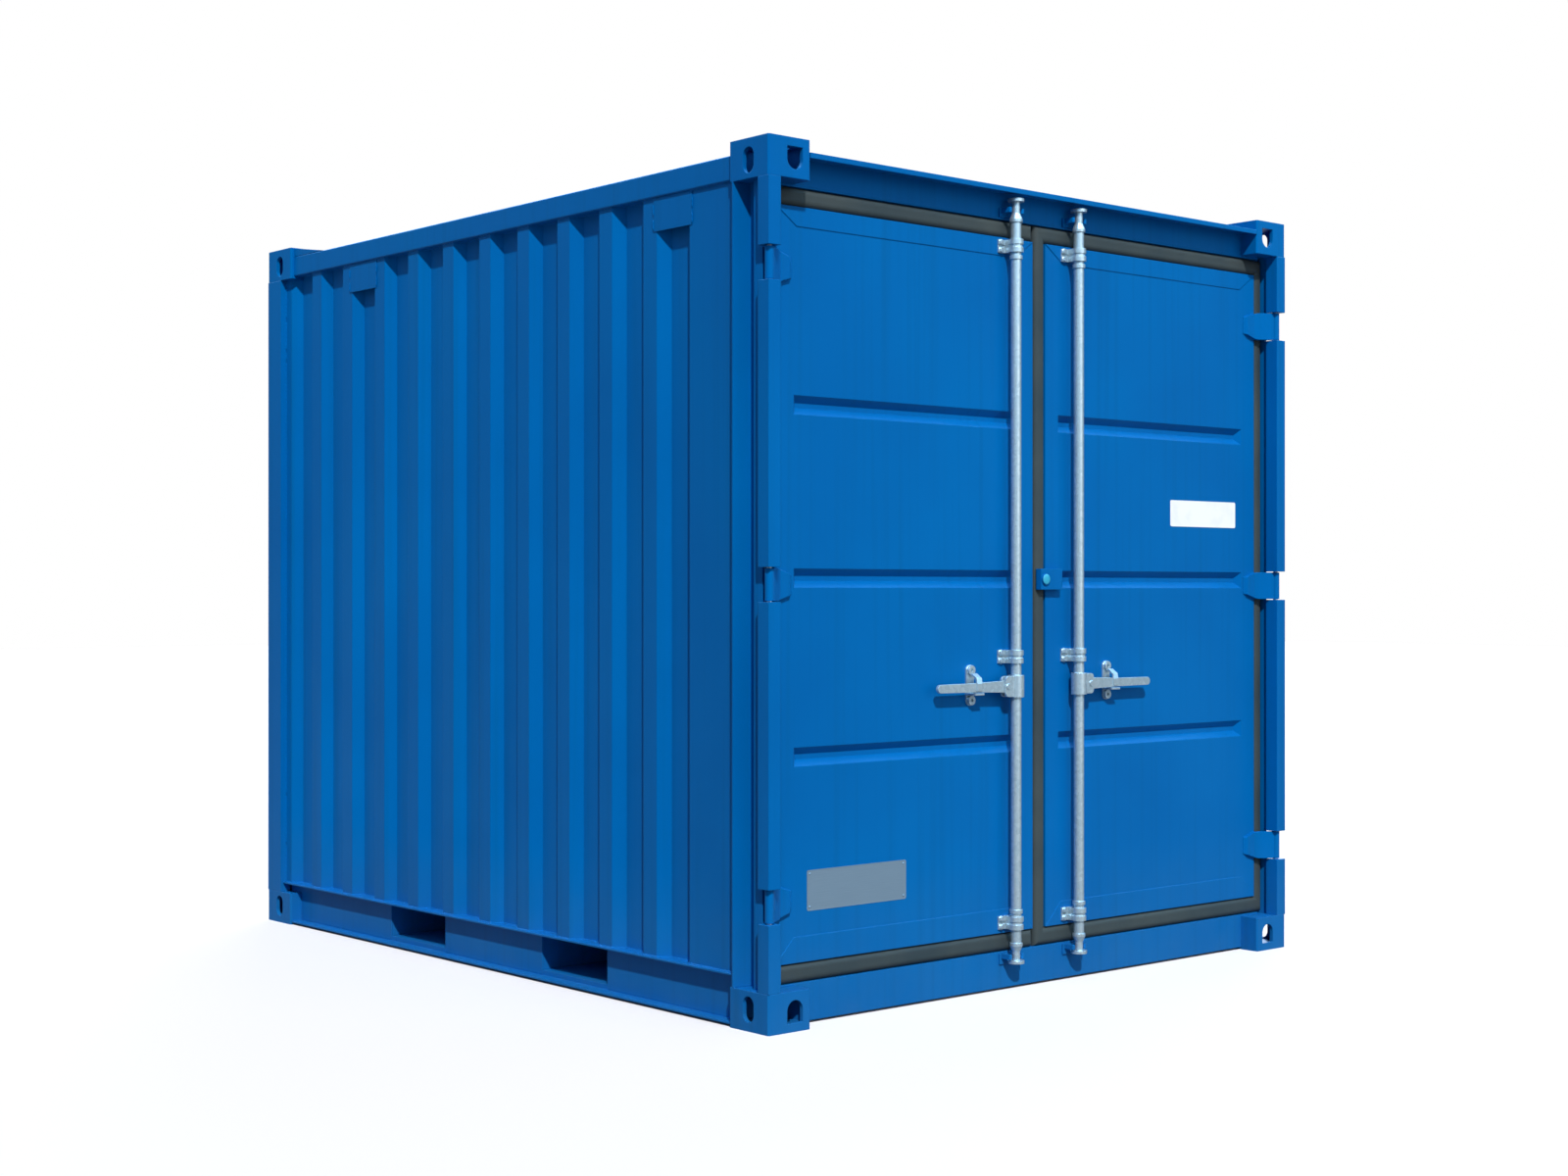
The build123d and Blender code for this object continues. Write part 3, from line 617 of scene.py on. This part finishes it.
@dataclass(frozen=True)
class PlainCoat:
    """A smooth coat of one colour with a slight unevenness: enamel on a sign, or a moulded cap."""

    name: str
    colour: str
    soiled_colour: str
    patch_size: float = 0.06
    patch_from: float = 0.5
    patch_to: float = 0.85
    roughness: float = 0.4

    def material(self) -> bpy.types.Material:
        """Builds the coat's material.

        Returns:
            The new material.
        """
        made, tree, place = new_tree(self.name)
        patches = add_node(
            tree,
            "ShaderNodeTexNoise",
            {"Vector": place, "Scale": 1 / self.patch_size, "Detail": SOME_OCTAVES},
        )
        share = add_node(
            tree,
            "ShaderNodeMapRange",
            {
                "Value": patches.outputs["Fac"],
                "From Min": self.patch_from,
                "From Max": self.patch_to,
            },
        )
        base = add_node(
            tree,
            "ShaderNodeMix",
            {
                "Factor": share.outputs["Result"],
                "A": to_linear(self.colour),
                "B": to_linear(self.soiled_colour),
            },
            data_type="RGBA",
        )
        shader = add_node(
            tree,
            "ShaderNodeBsdfPrincipled",
            {"Base Color": base.outputs[MIXED_COLOUR], "Roughness": self.roughness},
        )
        add_node(tree, "ShaderNodeOutputMaterial", {"Surface": shader.outputs["BSDF"]})
        return made


def new_piece(
    name: str, shape: bmesh.types.BMesh, finish: bpy.types.Material, body: str
) -> bpy.types.Object:
    """Makes a finished shape an object that rides on a body.

    Args:
        name: The piece's name.
        shape: Its mesh, in place, which is freed.
        finish: Its material.
        body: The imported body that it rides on.

    Returns:
        The new object.
    """
    bmesh.ops.recalc_face_normals(shape, faces=shape.faces[:])
    mesh = bpy.data.meshes.new(name)
    shape.to_mesh(mesh)
    shape.free()
    mesh.materials.append(finish)
    piece = bpy.data.objects.new(name, mesh)
    bpy.context.scene.collection.objects.link(piece)
    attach(piece, body)
    log.info("%s: %d faces on %s", name, len(mesh.polygons), body)
    return piece


@dataclass
class WeldBead:
    """A hand-laid weld bead, a half-sunk round run with its ripples."""

    radius: float = 0.0032
    # Ripples are 2 to 3 mm apart on a real bead, and are drawn coarser to keep the mesh light.
    pitch: float = 0.008
    ripple: float = 0.16
    sides: int = 6

    def lay(self, shape: bmesh.types.BMesh, path: list[Vector]) -> None:
        """Lays one bead along a path of straight runs.

        Args:
            shape: The mesh that takes the bead.
            path: The corners that the bead passes, in order.
        """
        stations = self.stations(path)
        ring = bmesh.ops.create_circle(shape, cap_ends=True, segments=self.sides, radius=self.radius)
        verts = ring["verts"]
        edges = list(dict.fromkeys(edge for vert in verts for edge in vert.link_edges))
        last = self.placing(stations[0], stations[1] - stations[0], 0)
        bmesh.ops.transform(shape, matrix=last, verts=verts)
        for index in range(1, len(stations)):
            ahead = stations[min(index + 1, len(stations) - 1)] - stations[index - 1]
            place = self.placing(stations[index], ahead, index)
            made = bmesh.ops.extrude_edge_only(shape, edges=edges)["geom"]
            verts = [part for part in made if isinstance(part, bmesh.types.BMVert)]
            edges = [
                part for part in made
                if isinstance(part, bmesh.types.BMEdge) and all(vert in verts for vert in part.verts)
            ]
            bmesh.ops.transform(shape, matrix=place @ last.inverted(), verts=verts)
            last = place
        bmesh.ops.contextual_create(shape, geom=edges)

    def stations(self, path: list[Vector]) -> list[Vector]:
        """Spaces points along the path, one for each ripple.

        Args:
            path: The corners that the bead passes, in order.

        Returns:
            The points, from the first corner to the last.
        """
        points = [path[0]]
        for start, end in zip(path, path[1:]):
            steps = max(1, round((end - start).length / self.pitch))
            points += [start.lerp(end, step / steps) for step in range(1, steps + 1)]
        return points

    def placing(self, point: Vector, ahead: Vector, index: int) -> Matrix:
        """Puts a ring across the path, swollen on every other ripple.

        Args:
            point: The ring's middle.
            ahead: The way that the path runs there.
            index: The ring's number.

        Returns:
            The matrix that places the ring.
        """
        swell = 1 + (self.ripple if index % 2 else -self.ripple)
        turn = ahead.to_track_quat("Z", "Y").to_matrix().to_4x4()
        return Matrix.Translation(point) @ turn @ Matrix.Scale(swell, 4)


@dataclass
class HexBolt:
    """A hexagon bolt head on its washer, with its crown chamfered."""

    across: float = 0.015
    head: float = 0.0045
    washer: float = 0.0105
    washer_thick: float = 0.0012
    chamfer: float = 0.0008
    washer_sides: int = 20
    head_sides: int = 6

    def set(self, shape: bmesh.types.BMesh, place: Matrix) -> None:
        """Adds one bolt head on its washer.

        Args:
            shape: The mesh that takes them.
            place: Puts the seat at the origin, with the head towards +Z.
        """
        corner = self.across / 2 / math.cos(math.pi / self.head_sides)
        stack = (
            (self.washer, 0.0, self.washer_thick, self.washer_sides),
            (corner, self.washer_thick, self.head, self.head_sides),
        )
        for radius, low, tall, sides in stack:
            middle = low + tall / 2
            made = bmesh.ops.create_cone(
                shape, cap_ends=True, segments=sides, radius1=radius, radius2=radius, depth=tall,
                matrix=place @ Matrix.Translation((0, 0, middle)),
            )
            edges = dict.fromkeys(edge for vert in made["verts"] for edge in vert.link_edges)
            crown = [
                edge for edge in edges
                if all((place.inverted() @ vert.co).z > middle for vert in edge.verts)
            ]
            bmesh.ops.bevel(
                shape, geom=crown, offset=self.chamfer, segments=1, profile=0.5, material=-1,
                affect="EDGES",
            )


@dataclass(frozen=True)
class Pressing:
    """Trapezoid troughs pressed into a sheet at even steps."""

    count: int
    pitch: float
    mouth: float
    run: float
    depth: float

    def outline(self, start: float, first: float, end: float) -> list[tuple[float, float]]:
        """Gives the corners of the pressed sheet.

        Args:
            start: Where the sheet starts.
            first: Where its first trough starts.
            end: Where the sheet ends.

        Returns:
            Each corner's distance along the sheet and its depth, in order.
        """
        corners = [(start, 0.0)]
        for index in range(self.count):
            edge = first + index * self.pitch
            corners += [
                (edge, 0.0),
                (edge + self.run, self.depth),
                (edge + self.mouth - self.run, self.depth),
                (edge + self.mouth, 0.0),
            ]
        corners.append((end, 0.0))
        return corners


@dataclass
class CorrugatedSkin:
    """The corrugated side and rear walls, welded all round, and their welded vent covers."""

    paint: bpy.types.Material
    side: Pressing = Pressing(count=11, pitch=0.2295, mouth=0.162, run=0.035, depth=0.032)
    rear: Pressing = Pressing(count=8, pitch=0.250, mouth=0.178, run=0.066, depth=0.045)
    first_flat: float = 0.2275
    vent_troughs: tuple[int, int] = (0, 8)
    vent_lap: float = 0.014
    tack_long: float = 0.03
    tack_radius: float = 0.0026
    tack_inset: float = 0.006

    def build(self) -> None:
        """Lays the weld beads round the walls."""
        self.weld_sides()
        self.weld_rear()
        self.weld_ends()
        self.weld_vents()

    def weld_sides(self) -> None:
        """Welds the side walls to their rails, along every trough."""
        low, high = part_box("side_wall_left")
        line = self.side.outline(low.y, low.y + self.first_flat, high.y)
        beads = bmesh.new()
        for hand in (-1, 1):
            for level in (low.z, high.z):
                path = [Vector((-hand * (low.x + depth), along, level)) for along, depth in line]
                WeldBead().lay(beads, path)
        new_piece("side_wall_welds", beads, self.paint, "root")

    def weld_rear(self) -> None:
        """Welds the rear wall to its rails, along every trough."""
        low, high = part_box("rear_wall")
        first = -(self.rear.pitch * (self.rear.count - 1) + self.rear.mouth) / 2
        line = self.rear.outline(low.x, first, high.x)
        beads = bmesh.new()
        for level in (low.z, high.z):
            path = [Vector((along, high.y - depth, level)) for along, depth in line]
            WeldBead().lay(beads, path)
        new_piece("rear_wall_welds", beads, self.paint, "root")

    def weld_ends(self) -> None:
        """Welds the walls' upright edges to the posts."""
        side_low, side_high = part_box("side_wall_left")
        rear_low, rear_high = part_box("rear_wall")
        beads = bmesh.new()
        for hand in (-1, 1):
            corners = (
                (hand * side_low.x, side_low.y),
                (hand * side_low.x, side_high.y),
                (hand * rear_low.x, rear_high.y),
            )
            for x, y in corners:
                WeldBead().lay(
                    beads, [Vector((x, y, side_low.z)), Vector((x, y, side_high.z))]
                )
        new_piece("wall_end_welds", beads, self.paint, "root")

    def weld_vents(self) -> None:
        """Tacks the vent covers to the crests beside their troughs."""
        low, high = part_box("vent_covers")
        wall_low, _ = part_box("side_wall_left")
        bead = WeldBead(radius=self.tack_radius)
        beads = bmesh.new()
        for hand in (-1, 1):
            for index in self.vent_troughs:
                trough = wall_low.y + self.first_flat + index * self.side.pitch
                for along in (trough - self.vent_lap, trough + self.side.mouth + self.vent_lap):
                    for level in (low.z + self.tack_inset, (low.z + high.z) / 2):
                        foot = Vector((hand * high.x, along, level))
                        bead.lay(beads, [foot, foot + Vector((0, 0, self.tack_long))])
        new_piece("vent_cover_welds", beads, self.paint, "root")


@dataclass
class BottomRail:
    """The upright webs of the bottom side rails, which run through to the rear castings."""

    paint: bpy.types.Material
    end_plate_reach: float = 0.02

    def build(self) -> None:
        """Makes the webs without the plates that stand in front of their rear ends."""
        _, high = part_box("bottom_rail_webs")
        shape = bmesh.new()
        shape.from_mesh(frame["nodes"]["bottom_rail_webs"].data)
        bmesh.ops.remove_doubles(shape, verts=shape.verts[:], dist=MERGE_DISTANCE)
        plates = [vert for vert in shape.verts if abs(vert.co.x) > high.x - self.end_plate_reach]
        bmesh.ops.delete(shape, geom=plates, context="VERTS")
        piece = new_piece("bottom_rail_plates", shape, self.paint, "root")
        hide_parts("bottom_rail_webs")


@dataclass
class DoorLeaf:
    """One door leaf: its seal's rounded lip, its hinge welds and its bare plates."""

    side: Side
    paint: bpy.types.Material
    rubber: bpy.types.Material
    aluminium: bpy.types.Material
    sign_enamel: bpy.types.Material
    cap_plastic: bpy.types.Material
    lip_radius: float = 0.0195
    lip_segments: int = 6
    # Angles between faces, in radians: flatter edges are dissolved and sharper ones rounded.
    flat_angle: float = math.radians(1)
    crease_angle: float = 1.0
    bead_radius: float = 0.003
    blade_half: float = 0.0475
    blade_tip_half: float = 0.028
    blade_inset: float = 0.004
    skin_inset: float = 0.002
    plate_thick: float = 0.0012
    plate_corner: float = 0.006
    plate_corner_segments: int = 4
    plate_rim: float = 0.004
    plate_dish: float = 0.0003
    nameplate: tuple[float, float, float, float] = (-1.0085, 0.3315, -0.602, 0.4518)
    sign: tuple[float, float, float, float] = (0.666, 1.500, 1.0245, 1.5905)
    rivet_inset: float = 0.011
    rivet_radius: float = 0.0035
    rivet_rise: float = 0.5
    rivet_around: int = 12
    rivet_rings: int = 8
    cap_radius: float = 0.0165
    cap_rise: float = 0.22
    cap_middle: float = 0.004
    cap_around: int = 24
    cap_rings: int = 12

    @property
    def body(self) -> str:
        """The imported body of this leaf."""
        return f"{self.side.value}_door"

    def build(self) -> None:
        """Makes the leaf's seal, welds and plates."""
        self.make_seal()
        self.weld_hinges()
        if self.side is Side.LEFT:
            self.make_plate("nameplate", self.nameplate, self.aluminium)
            self.rivet_plate()
        else:
            self.make_plate("weight_sign", self.sign, self.sign_enamel)
            self.make_cap()

    def make_seal(self) -> None:
        """Makes the seal with a rounded front lip in place of the plain ring."""
        name = f"{self.side.value}_door_gasket"
        shape = bmesh.new()
        shape.from_mesh(frame["nodes"][name].data)
        bmesh.ops.remove_doubles(shape, verts=shape.verts[:], dist=MERGE_DISTANCE)
        bmesh.ops.dissolve_limit(
            shape, angle_limit=self.flat_angle, verts=shape.verts[:], edges=shape.edges[:]
        )
        front = min(vert.co.y for vert in shape.verts) + MERGE_DISTANCE
        lip = [
            edge for edge in shape.edges
            if all(vert.co.y < front for vert in edge.verts)
            and edge.calc_face_angle(0) > self.crease_angle
        ]
        bmesh.ops.bevel(
            shape, geom=lip, offset=self.lip_radius, segments=self.lip_segments, profile=0.5,
            material=-1, affect="EDGES",
        )
        piece = new_piece(f"{self.side.value}_door_seal", shape, self.rubber, self.body)
        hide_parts(name)

    def weld_hinges(self) -> None:
        """Welds the hinge blades' edges to the leaf's face."""
        low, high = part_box(f"{self.side.value}_door_hinges")
        leaf_low, leaf_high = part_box(f"{self.side.value}_door_panel")
        hand = self.side.hand
        root = (leaf_low.x if hand < 0 else leaf_high.x) - hand * self.blade_inset
        tip = high.x if hand < 0 else low.x
        levels = (low.z + self.blade_half, (low.z + high.z) / 2, high.z - self.blade_half)
        bead = WeldBead(radius=self.bead_radius)
        beads = bmesh.new()
        for level in levels:
            path = [
                Vector((root, high.y, level - self.blade_half)),
                Vector((tip, high.y, level - self.blade_tip_half)),
                Vector((tip, high.y, level + self.blade_tip_half)),
                Vector((root, high.y, level + self.blade_half)),
            ]
            for start, end in zip(path, path[1:]):
                bead.lay(beads, [start, end])
        new_piece(f"{self.side.value}_hinge_welds", beads, self.paint, self.body)

    def skin_face(self) -> float:
        """Gives the plane of the leaf's pressed sheet."""
        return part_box(f"{self.side.value}_door_panel")[0].y + self.skin_inset

    def make_plate(
        self, name: str, edges: tuple[float, float, float, float],
        finish: bpy.types.Material,
    ) -> None:
        """Makes one bare plate on the leaf's sheet, with rounded corners and a raised rim.

        Args:
            name: The piece's name.
            edges: Its left, lower, right and upper edges.
            finish: Its material.
        """
        left, low, right, high = edges
        seat = self.skin_face()
        middle = Vector(((left + right) / 2, seat - self.plate_thick / 2, (low + high) / 2))
        size = Matrix.Diagonal((right - left, self.plate_thick, high - low, 1))
        shape = bmesh.new()
        bmesh.ops.create_cube(shape, size=1.0, matrix=Matrix.Translation(middle) @ size)
        corners = [
            edge for edge in shape.edges
            if abs(edge.verts[0].co.y - edge.verts[1].co.y) > self.plate_thick / 2
        ]
        bmesh.ops.bevel(
            shape, geom=corners, offset=self.plate_corner, segments=self.plate_corner_segments,
            profile=0.5, material=-1, affect="EDGES",
        )
        face = min(shape.faces, key=lambda one: one.calc_center_median().y)
        bmesh.ops.inset_region(shape, faces=[face], thickness=self.plate_rim)
        bmesh.ops.translate(shape, vec=Vector((0, self.plate_dish, 0)), verts=face.verts[:])
        new_piece(name, shape, finish, self.body)

    def rivet_plate(self) -> None:
        """Sets a domed rivet in each corner of the nameplate."""
        left, low, right, high = self.nameplate
        face = self.skin_face() - self.plate_thick
        flat = Matrix.Diagonal((1, self.rivet_rise, 1, 1))
        shape = bmesh.new()
        for x in (left + self.rivet_inset, right - self.rivet_inset):
            for z in (low + self.rivet_inset, high - self.rivet_inset):
                bmesh.ops.create_uvsphere(
                    shape, u_segments=self.rivet_around, v_segments=self.rivet_rings,
                    radius=self.rivet_radius,
                    matrix=Matrix.Translation((x, face, z)) @ flat,
                )
        new_piece("nameplate_rivets", shape, self.aluminium, self.body)

    def make_cap(self) -> None:
        """Makes the small domed cap on the centre bracket."""
        low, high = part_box("centre_bracket")
        middle = Vector((self.cap_middle, low.y, (low.z + high.z) / 2))
        flat = Matrix.Diagonal((1, self.cap_rise, 1, 1))
        shape = bmesh.new()
        bmesh.ops.create_uvsphere(
            shape, u_segments=self.cap_around, v_segments=self.cap_rings,
            radius=self.cap_radius, matrix=Matrix.Translation(middle) @ flat,
        )
        new_piece("centre_cap", shape, self.cap_plastic, self.body)


@dataclass
class LockingGear:
    """The bolts that hold one lock rod's brackets."""

    side: Side
    zinc: bpy.types.Material
    bolt_across: float = 0.036
    bolt_up: float = 0.01275
    plate_thick: float = 0.006
    plate_half: float = 0.021
    middle_level: float = 1.067
    skin_inset: float = 0.002

    def build(self) -> None:
        """Sets the bolts in the bracket plates."""
        low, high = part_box(f"{self.side.value}_rod_brackets")
        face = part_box(f"{self.side.value}_door_panel")[0].y
        seats = (
            (low.z + self.plate_half, face),
            (self.middle_level, face + self.skin_inset),
            (high.z - self.plate_half, face),
        )
        middle = (low.x + high.x) / 2
        turn = Matrix.Rotation(QUARTER_TURN, 4, "X")
        bolt = HexBolt()
        shape = bmesh.new()
        for level, seat in seats:
            for across in (-self.bolt_across, self.bolt_across):
                for up in (-self.bolt_up, self.bolt_up):
                    point = Vector((middle + across, seat - self.plate_thick, level + up))
                    bolt.set(shape, Matrix.Translation(point) @ turn)
        new_piece(
            f"{self.side.value}_bracket_bolts", shape, self.zinc, f"{self.side.value}_door",
        )


@dataclass
class FloorDeck:
    """The screws that hold the floor boards to the cross members."""

    zinc: bpy.types.Material
    row_step: float = 0.2
    column_step: float = 0.3
    screw_radius: float = 0.006
    screw_taper: float = 0.8
    screw_tall: float = 0.0012
    screw_sides: int = 10
    screw_rise: float = 0.0002

    def build(self) -> None:
        """Sets the screw heads almost flush in the boards."""
        low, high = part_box("floor")
        rows = int((high.y - low.y) / self.row_step)
        columns = int((high.x - low.x) / self.column_step)
        middle = (low + high) / 2
        shape = bmesh.new()
        for row in range(rows):
            for column in range(columns):
                x = middle.x + (column - (columns - 1) / 2) * self.column_step
                y = middle.y + (row - (rows - 1) / 2) * self.row_step
                bmesh.ops.create_cone(
                    shape, cap_ends=True, segments=self.screw_sides, radius1=self.screw_radius,
                    radius2=self.screw_radius * self.screw_taper, depth=self.screw_tall,
                    matrix=Matrix.Translation((x, y, high.z + self.screw_rise)),
                )
        new_piece("floor_screws", shape, self.zinc, "root")


@dataclass
class Studio:
    """The pale floor, the soft light and the camera at the photograph's place."""

    near_colour: str = "#F8F3F1"
    far_colour: str = "#F7F8F8"
    near_reach: float = 2.5
    far_reach: float = 9.0
    bounce_colour: str = "#8C9196"
    floor_half: float = 40.0
    sky_colour: str = "#C4DEF5"
    sky_strength: float = 0.3
    sheen_colour: str = "#9AD7FF"
    sheen_strength: float = 8.0
    sheen_from: float = 0.25
    sheen_to: float = 0.6
    backdrop_colour: str = "#FFFFFF"
    backdrop_strength: float = 1.0
    sun_along: tuple[float, float, float] = (0.395, 0.62, -0.678)
    sun_strength: float = 3.9
    sun_spread: float = 2.0
    front_along: tuple[float, float, float] = (-0.2, 1.0, -0.2)
    front_strength: float = 0.75
    front_spread: float = 50.0
    back_along: tuple[float, float, float] = (-0.75, -0.6, -0.25)
    back_strength: float = 1.6
    back_spread: float = 50.0
    camera_at: tuple[float, float, float] = (-5.348, -6.323, 1.279)
    camera_turn: float = -40.94
    camera_rise: float = 0.06
    camera_lens: float = 50.87
    camera_sensor: float = 36.0

    def build(self) -> None:
        """Makes the floor, the lights and the camera."""
        self.make_floor()
        self.make_sky()
        self.make_sun("main_light", self.sun_along, self.sun_strength, self.sun_spread)
        self.make_sun("front_light", self.front_along, self.front_strength, self.front_spread)
        self.make_sun("back_light", self.back_along, self.back_strength, self.back_spread)
        self.make_camera()
        bpy.context.scene.view_settings.view_transform = "Standard"

    def make_floor(self) -> None:
        """Makes the pale floor as stage, which throws less light up at the object than it shows."""
        mesh = bpy.data.meshes.new("studio_floor")
        shape = bmesh.new()
        bmesh.ops.create_grid(shape, x_segments=1, y_segments=1, size=self.floor_half)
        shape.to_mesh(mesh)
        shape.free()
        piece = bpy.data.objects.new("studio_floor", mesh)
        bpy.context.scene.collection.objects.link(piece)
        made, tree, place = new_tree("studio_floor_paint")
        away = add_node(tree, "ShaderNodeVectorMath", {0: place}, operation="LENGTH")
        share = add_node(
            tree,
            "ShaderNodeMapRange",
            {
                "Value": away.outputs["Value"],
                "From Min": self.near_reach,
                "From Max": self.far_reach,
            },
        )
        base = add_node(
            tree,
            "ShaderNodeMix",
            {
                "Factor": share.outputs["Result"],
                "A": to_linear(self.near_colour),
                "B": to_linear(self.far_colour),
            },
            data_type="RGBA",
        )
        shown = add_node(tree, "ShaderNodeBsdfDiffuse", {"Color": base.outputs[MIXED_COLOUR]})
        bounced = add_node(tree, "ShaderNodeBsdfDiffuse", {"Color": to_linear(self.bounce_colour)})
        seen = add_node(tree, "ShaderNodeLightPath").outputs["Is Camera Ray"]
        mixed = add_node(
            tree,
            "ShaderNodeMixShader",
            {0: seen, 1: bounced.outputs["BSDF"], 2: shown.outputs["BSDF"]},
        )
        add_node(tree, "ShaderNodeOutputMaterial", {"Surface": mixed.outputs["Shader"]})
        mesh.materials.append(made)

    def make_sky(self) -> None:
        """Sets pale surroundings, with a bright blue sky overhead that glossy edges mirror."""
        world = bpy.data.worlds.new("studio_sky")
        world.use_nodes = True
        tree = world.node_tree
        tree.nodes.clear()
        fill = add_node(
            tree,
            "ShaderNodeBackground",
            {"Color": to_linear(self.sky_colour), "Strength": self.sky_strength},
        )
        way = add_node(tree, "ShaderNodeTexCoord").outputs["Generated"]
        rise = add_node(tree, "ShaderNodeSeparateXYZ", {"Vector": way})
        strength = add_node(
            tree,
            "ShaderNodeMapRange",
            {
                "Value": rise.outputs["Z"],
                "From Min": self.sheen_from,
                "From Max": self.sheen_to,
                "To Min": self.sky_strength,
                "To Max": self.sheen_strength,
            },
        )
        sheen = add_node(
            tree,
            "ShaderNodeBackground",
            {"Color": to_linear(self.sheen_colour), "Strength": strength.outputs["Result"]},
        )
        backdrop = add_node(
            tree,
            "ShaderNodeBackground",
            {"Color": to_linear(self.backdrop_colour), "Strength": self.backdrop_strength},
        )
        path = add_node(tree, "ShaderNodeLightPath")
        mirrored = add_node(
            tree,
            "ShaderNodeMixShader",
            {
                0: path.outputs["Is Glossy Ray"],
                1: fill.outputs["Background"],
                2: sheen.outputs["Background"],
            },
        )
        mixed = add_node(
            tree,
            "ShaderNodeMixShader",
            {
                0: path.outputs["Is Camera Ray"],
                1: mirrored.outputs["Shader"],
                2: backdrop.outputs["Background"],
            },
        )
        add_node(tree, "ShaderNodeOutputWorld", {"Surface": mixed.outputs["Shader"]})
        bpy.context.scene.world = world

    def make_sun(
        self, name: str, along: tuple[float, float, float], strength: float, spread: float
    ) -> None:
        """Makes one far light.

        Args:
            name: The light's name.
            along: The way that its light goes.
            strength: Its strength.
            spread: How wide it is in the sky, in degrees.
        """
        light = bpy.data.lights.new(name, "SUN")
        light.energy = strength
        light.angle = math.radians(spread)
        lamp = bpy.data.objects.new(name, light)
        lamp.rotation_mode = "QUATERNION"
        lamp.rotation_quaternion = Vector(along).to_track_quat("-Z", "Y")
        bpy.context.scene.collection.objects.link(lamp)

    def make_camera(self) -> None:
        """Makes the camera that the picture is taken with."""
        data = bpy.data.cameras.new("camera")
        data.lens = self.camera_lens
        data.sensor_width = self.camera_sensor
        camera = bpy.data.objects.new("camera", data)
        camera.location = self.camera_at
        camera.rotation_euler = (
            QUARTER_TURN + math.radians(self.camera_rise), 0.0, math.radians(self.camera_turn),
        )
        bpy.context.scene.collection.objects.link(camera)
        bpy.context.scene.camera = camera


def dress_nodes(finishes: dict[Slot, bpy.types.Material]) -> None:
    """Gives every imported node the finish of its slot.

    Args:
        finishes: The material of each slot.
    """
    slots = {row["node"]: Slot(row["material_slot"]) for row in frame["record"]["subparts"]}
    for name, node in frame["nodes"].items():
        for place in node.material_slots:
            place.material = finishes[slots[name]]
        log.info("%s: %s", name, slots[name].value)


def main() -> None:
    """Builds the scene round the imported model."""
    logging.basicConfig(level=logging.INFO, format="%(name)s: %(message)s")
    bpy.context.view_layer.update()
    finishes = {
        Slot.PAINT: SatinAlkydPaint().material(),
        Slot.RUBBER: ExtrudedRubber().material(),
        Slot.GALVANISED: HotDipGalvanisedSteel().material(),
        Slot.PLYWOOD: SealedPlywood().material(),
    }
    aluminium = BrushedAluminium().material()
    sign_enamel = PlainCoat("sign_enamel", "#E9ECEC", "#DDE2E3").material()
    cap_plastic = PlainCoat("cap_plastic", "#2A9BBB", "#1F7F9C").material()
    dress_nodes(finishes)
    CorrugatedSkin(finishes[Slot.PAINT]).build()
    BottomRail(finishes[Slot.PAINT]).build()
    for side in Side:
        DoorLeaf(
            side, finishes[Slot.PAINT], finishes[Slot.RUBBER], aluminium, sign_enamel, cap_plastic
        ).build()
        LockingGear(side, finishes[Slot.GALVANISED]).build()
    FloorDeck(finishes[Slot.GALVANISED]).build()
    Studio().build()


if __name__ == "__main__":
    main()
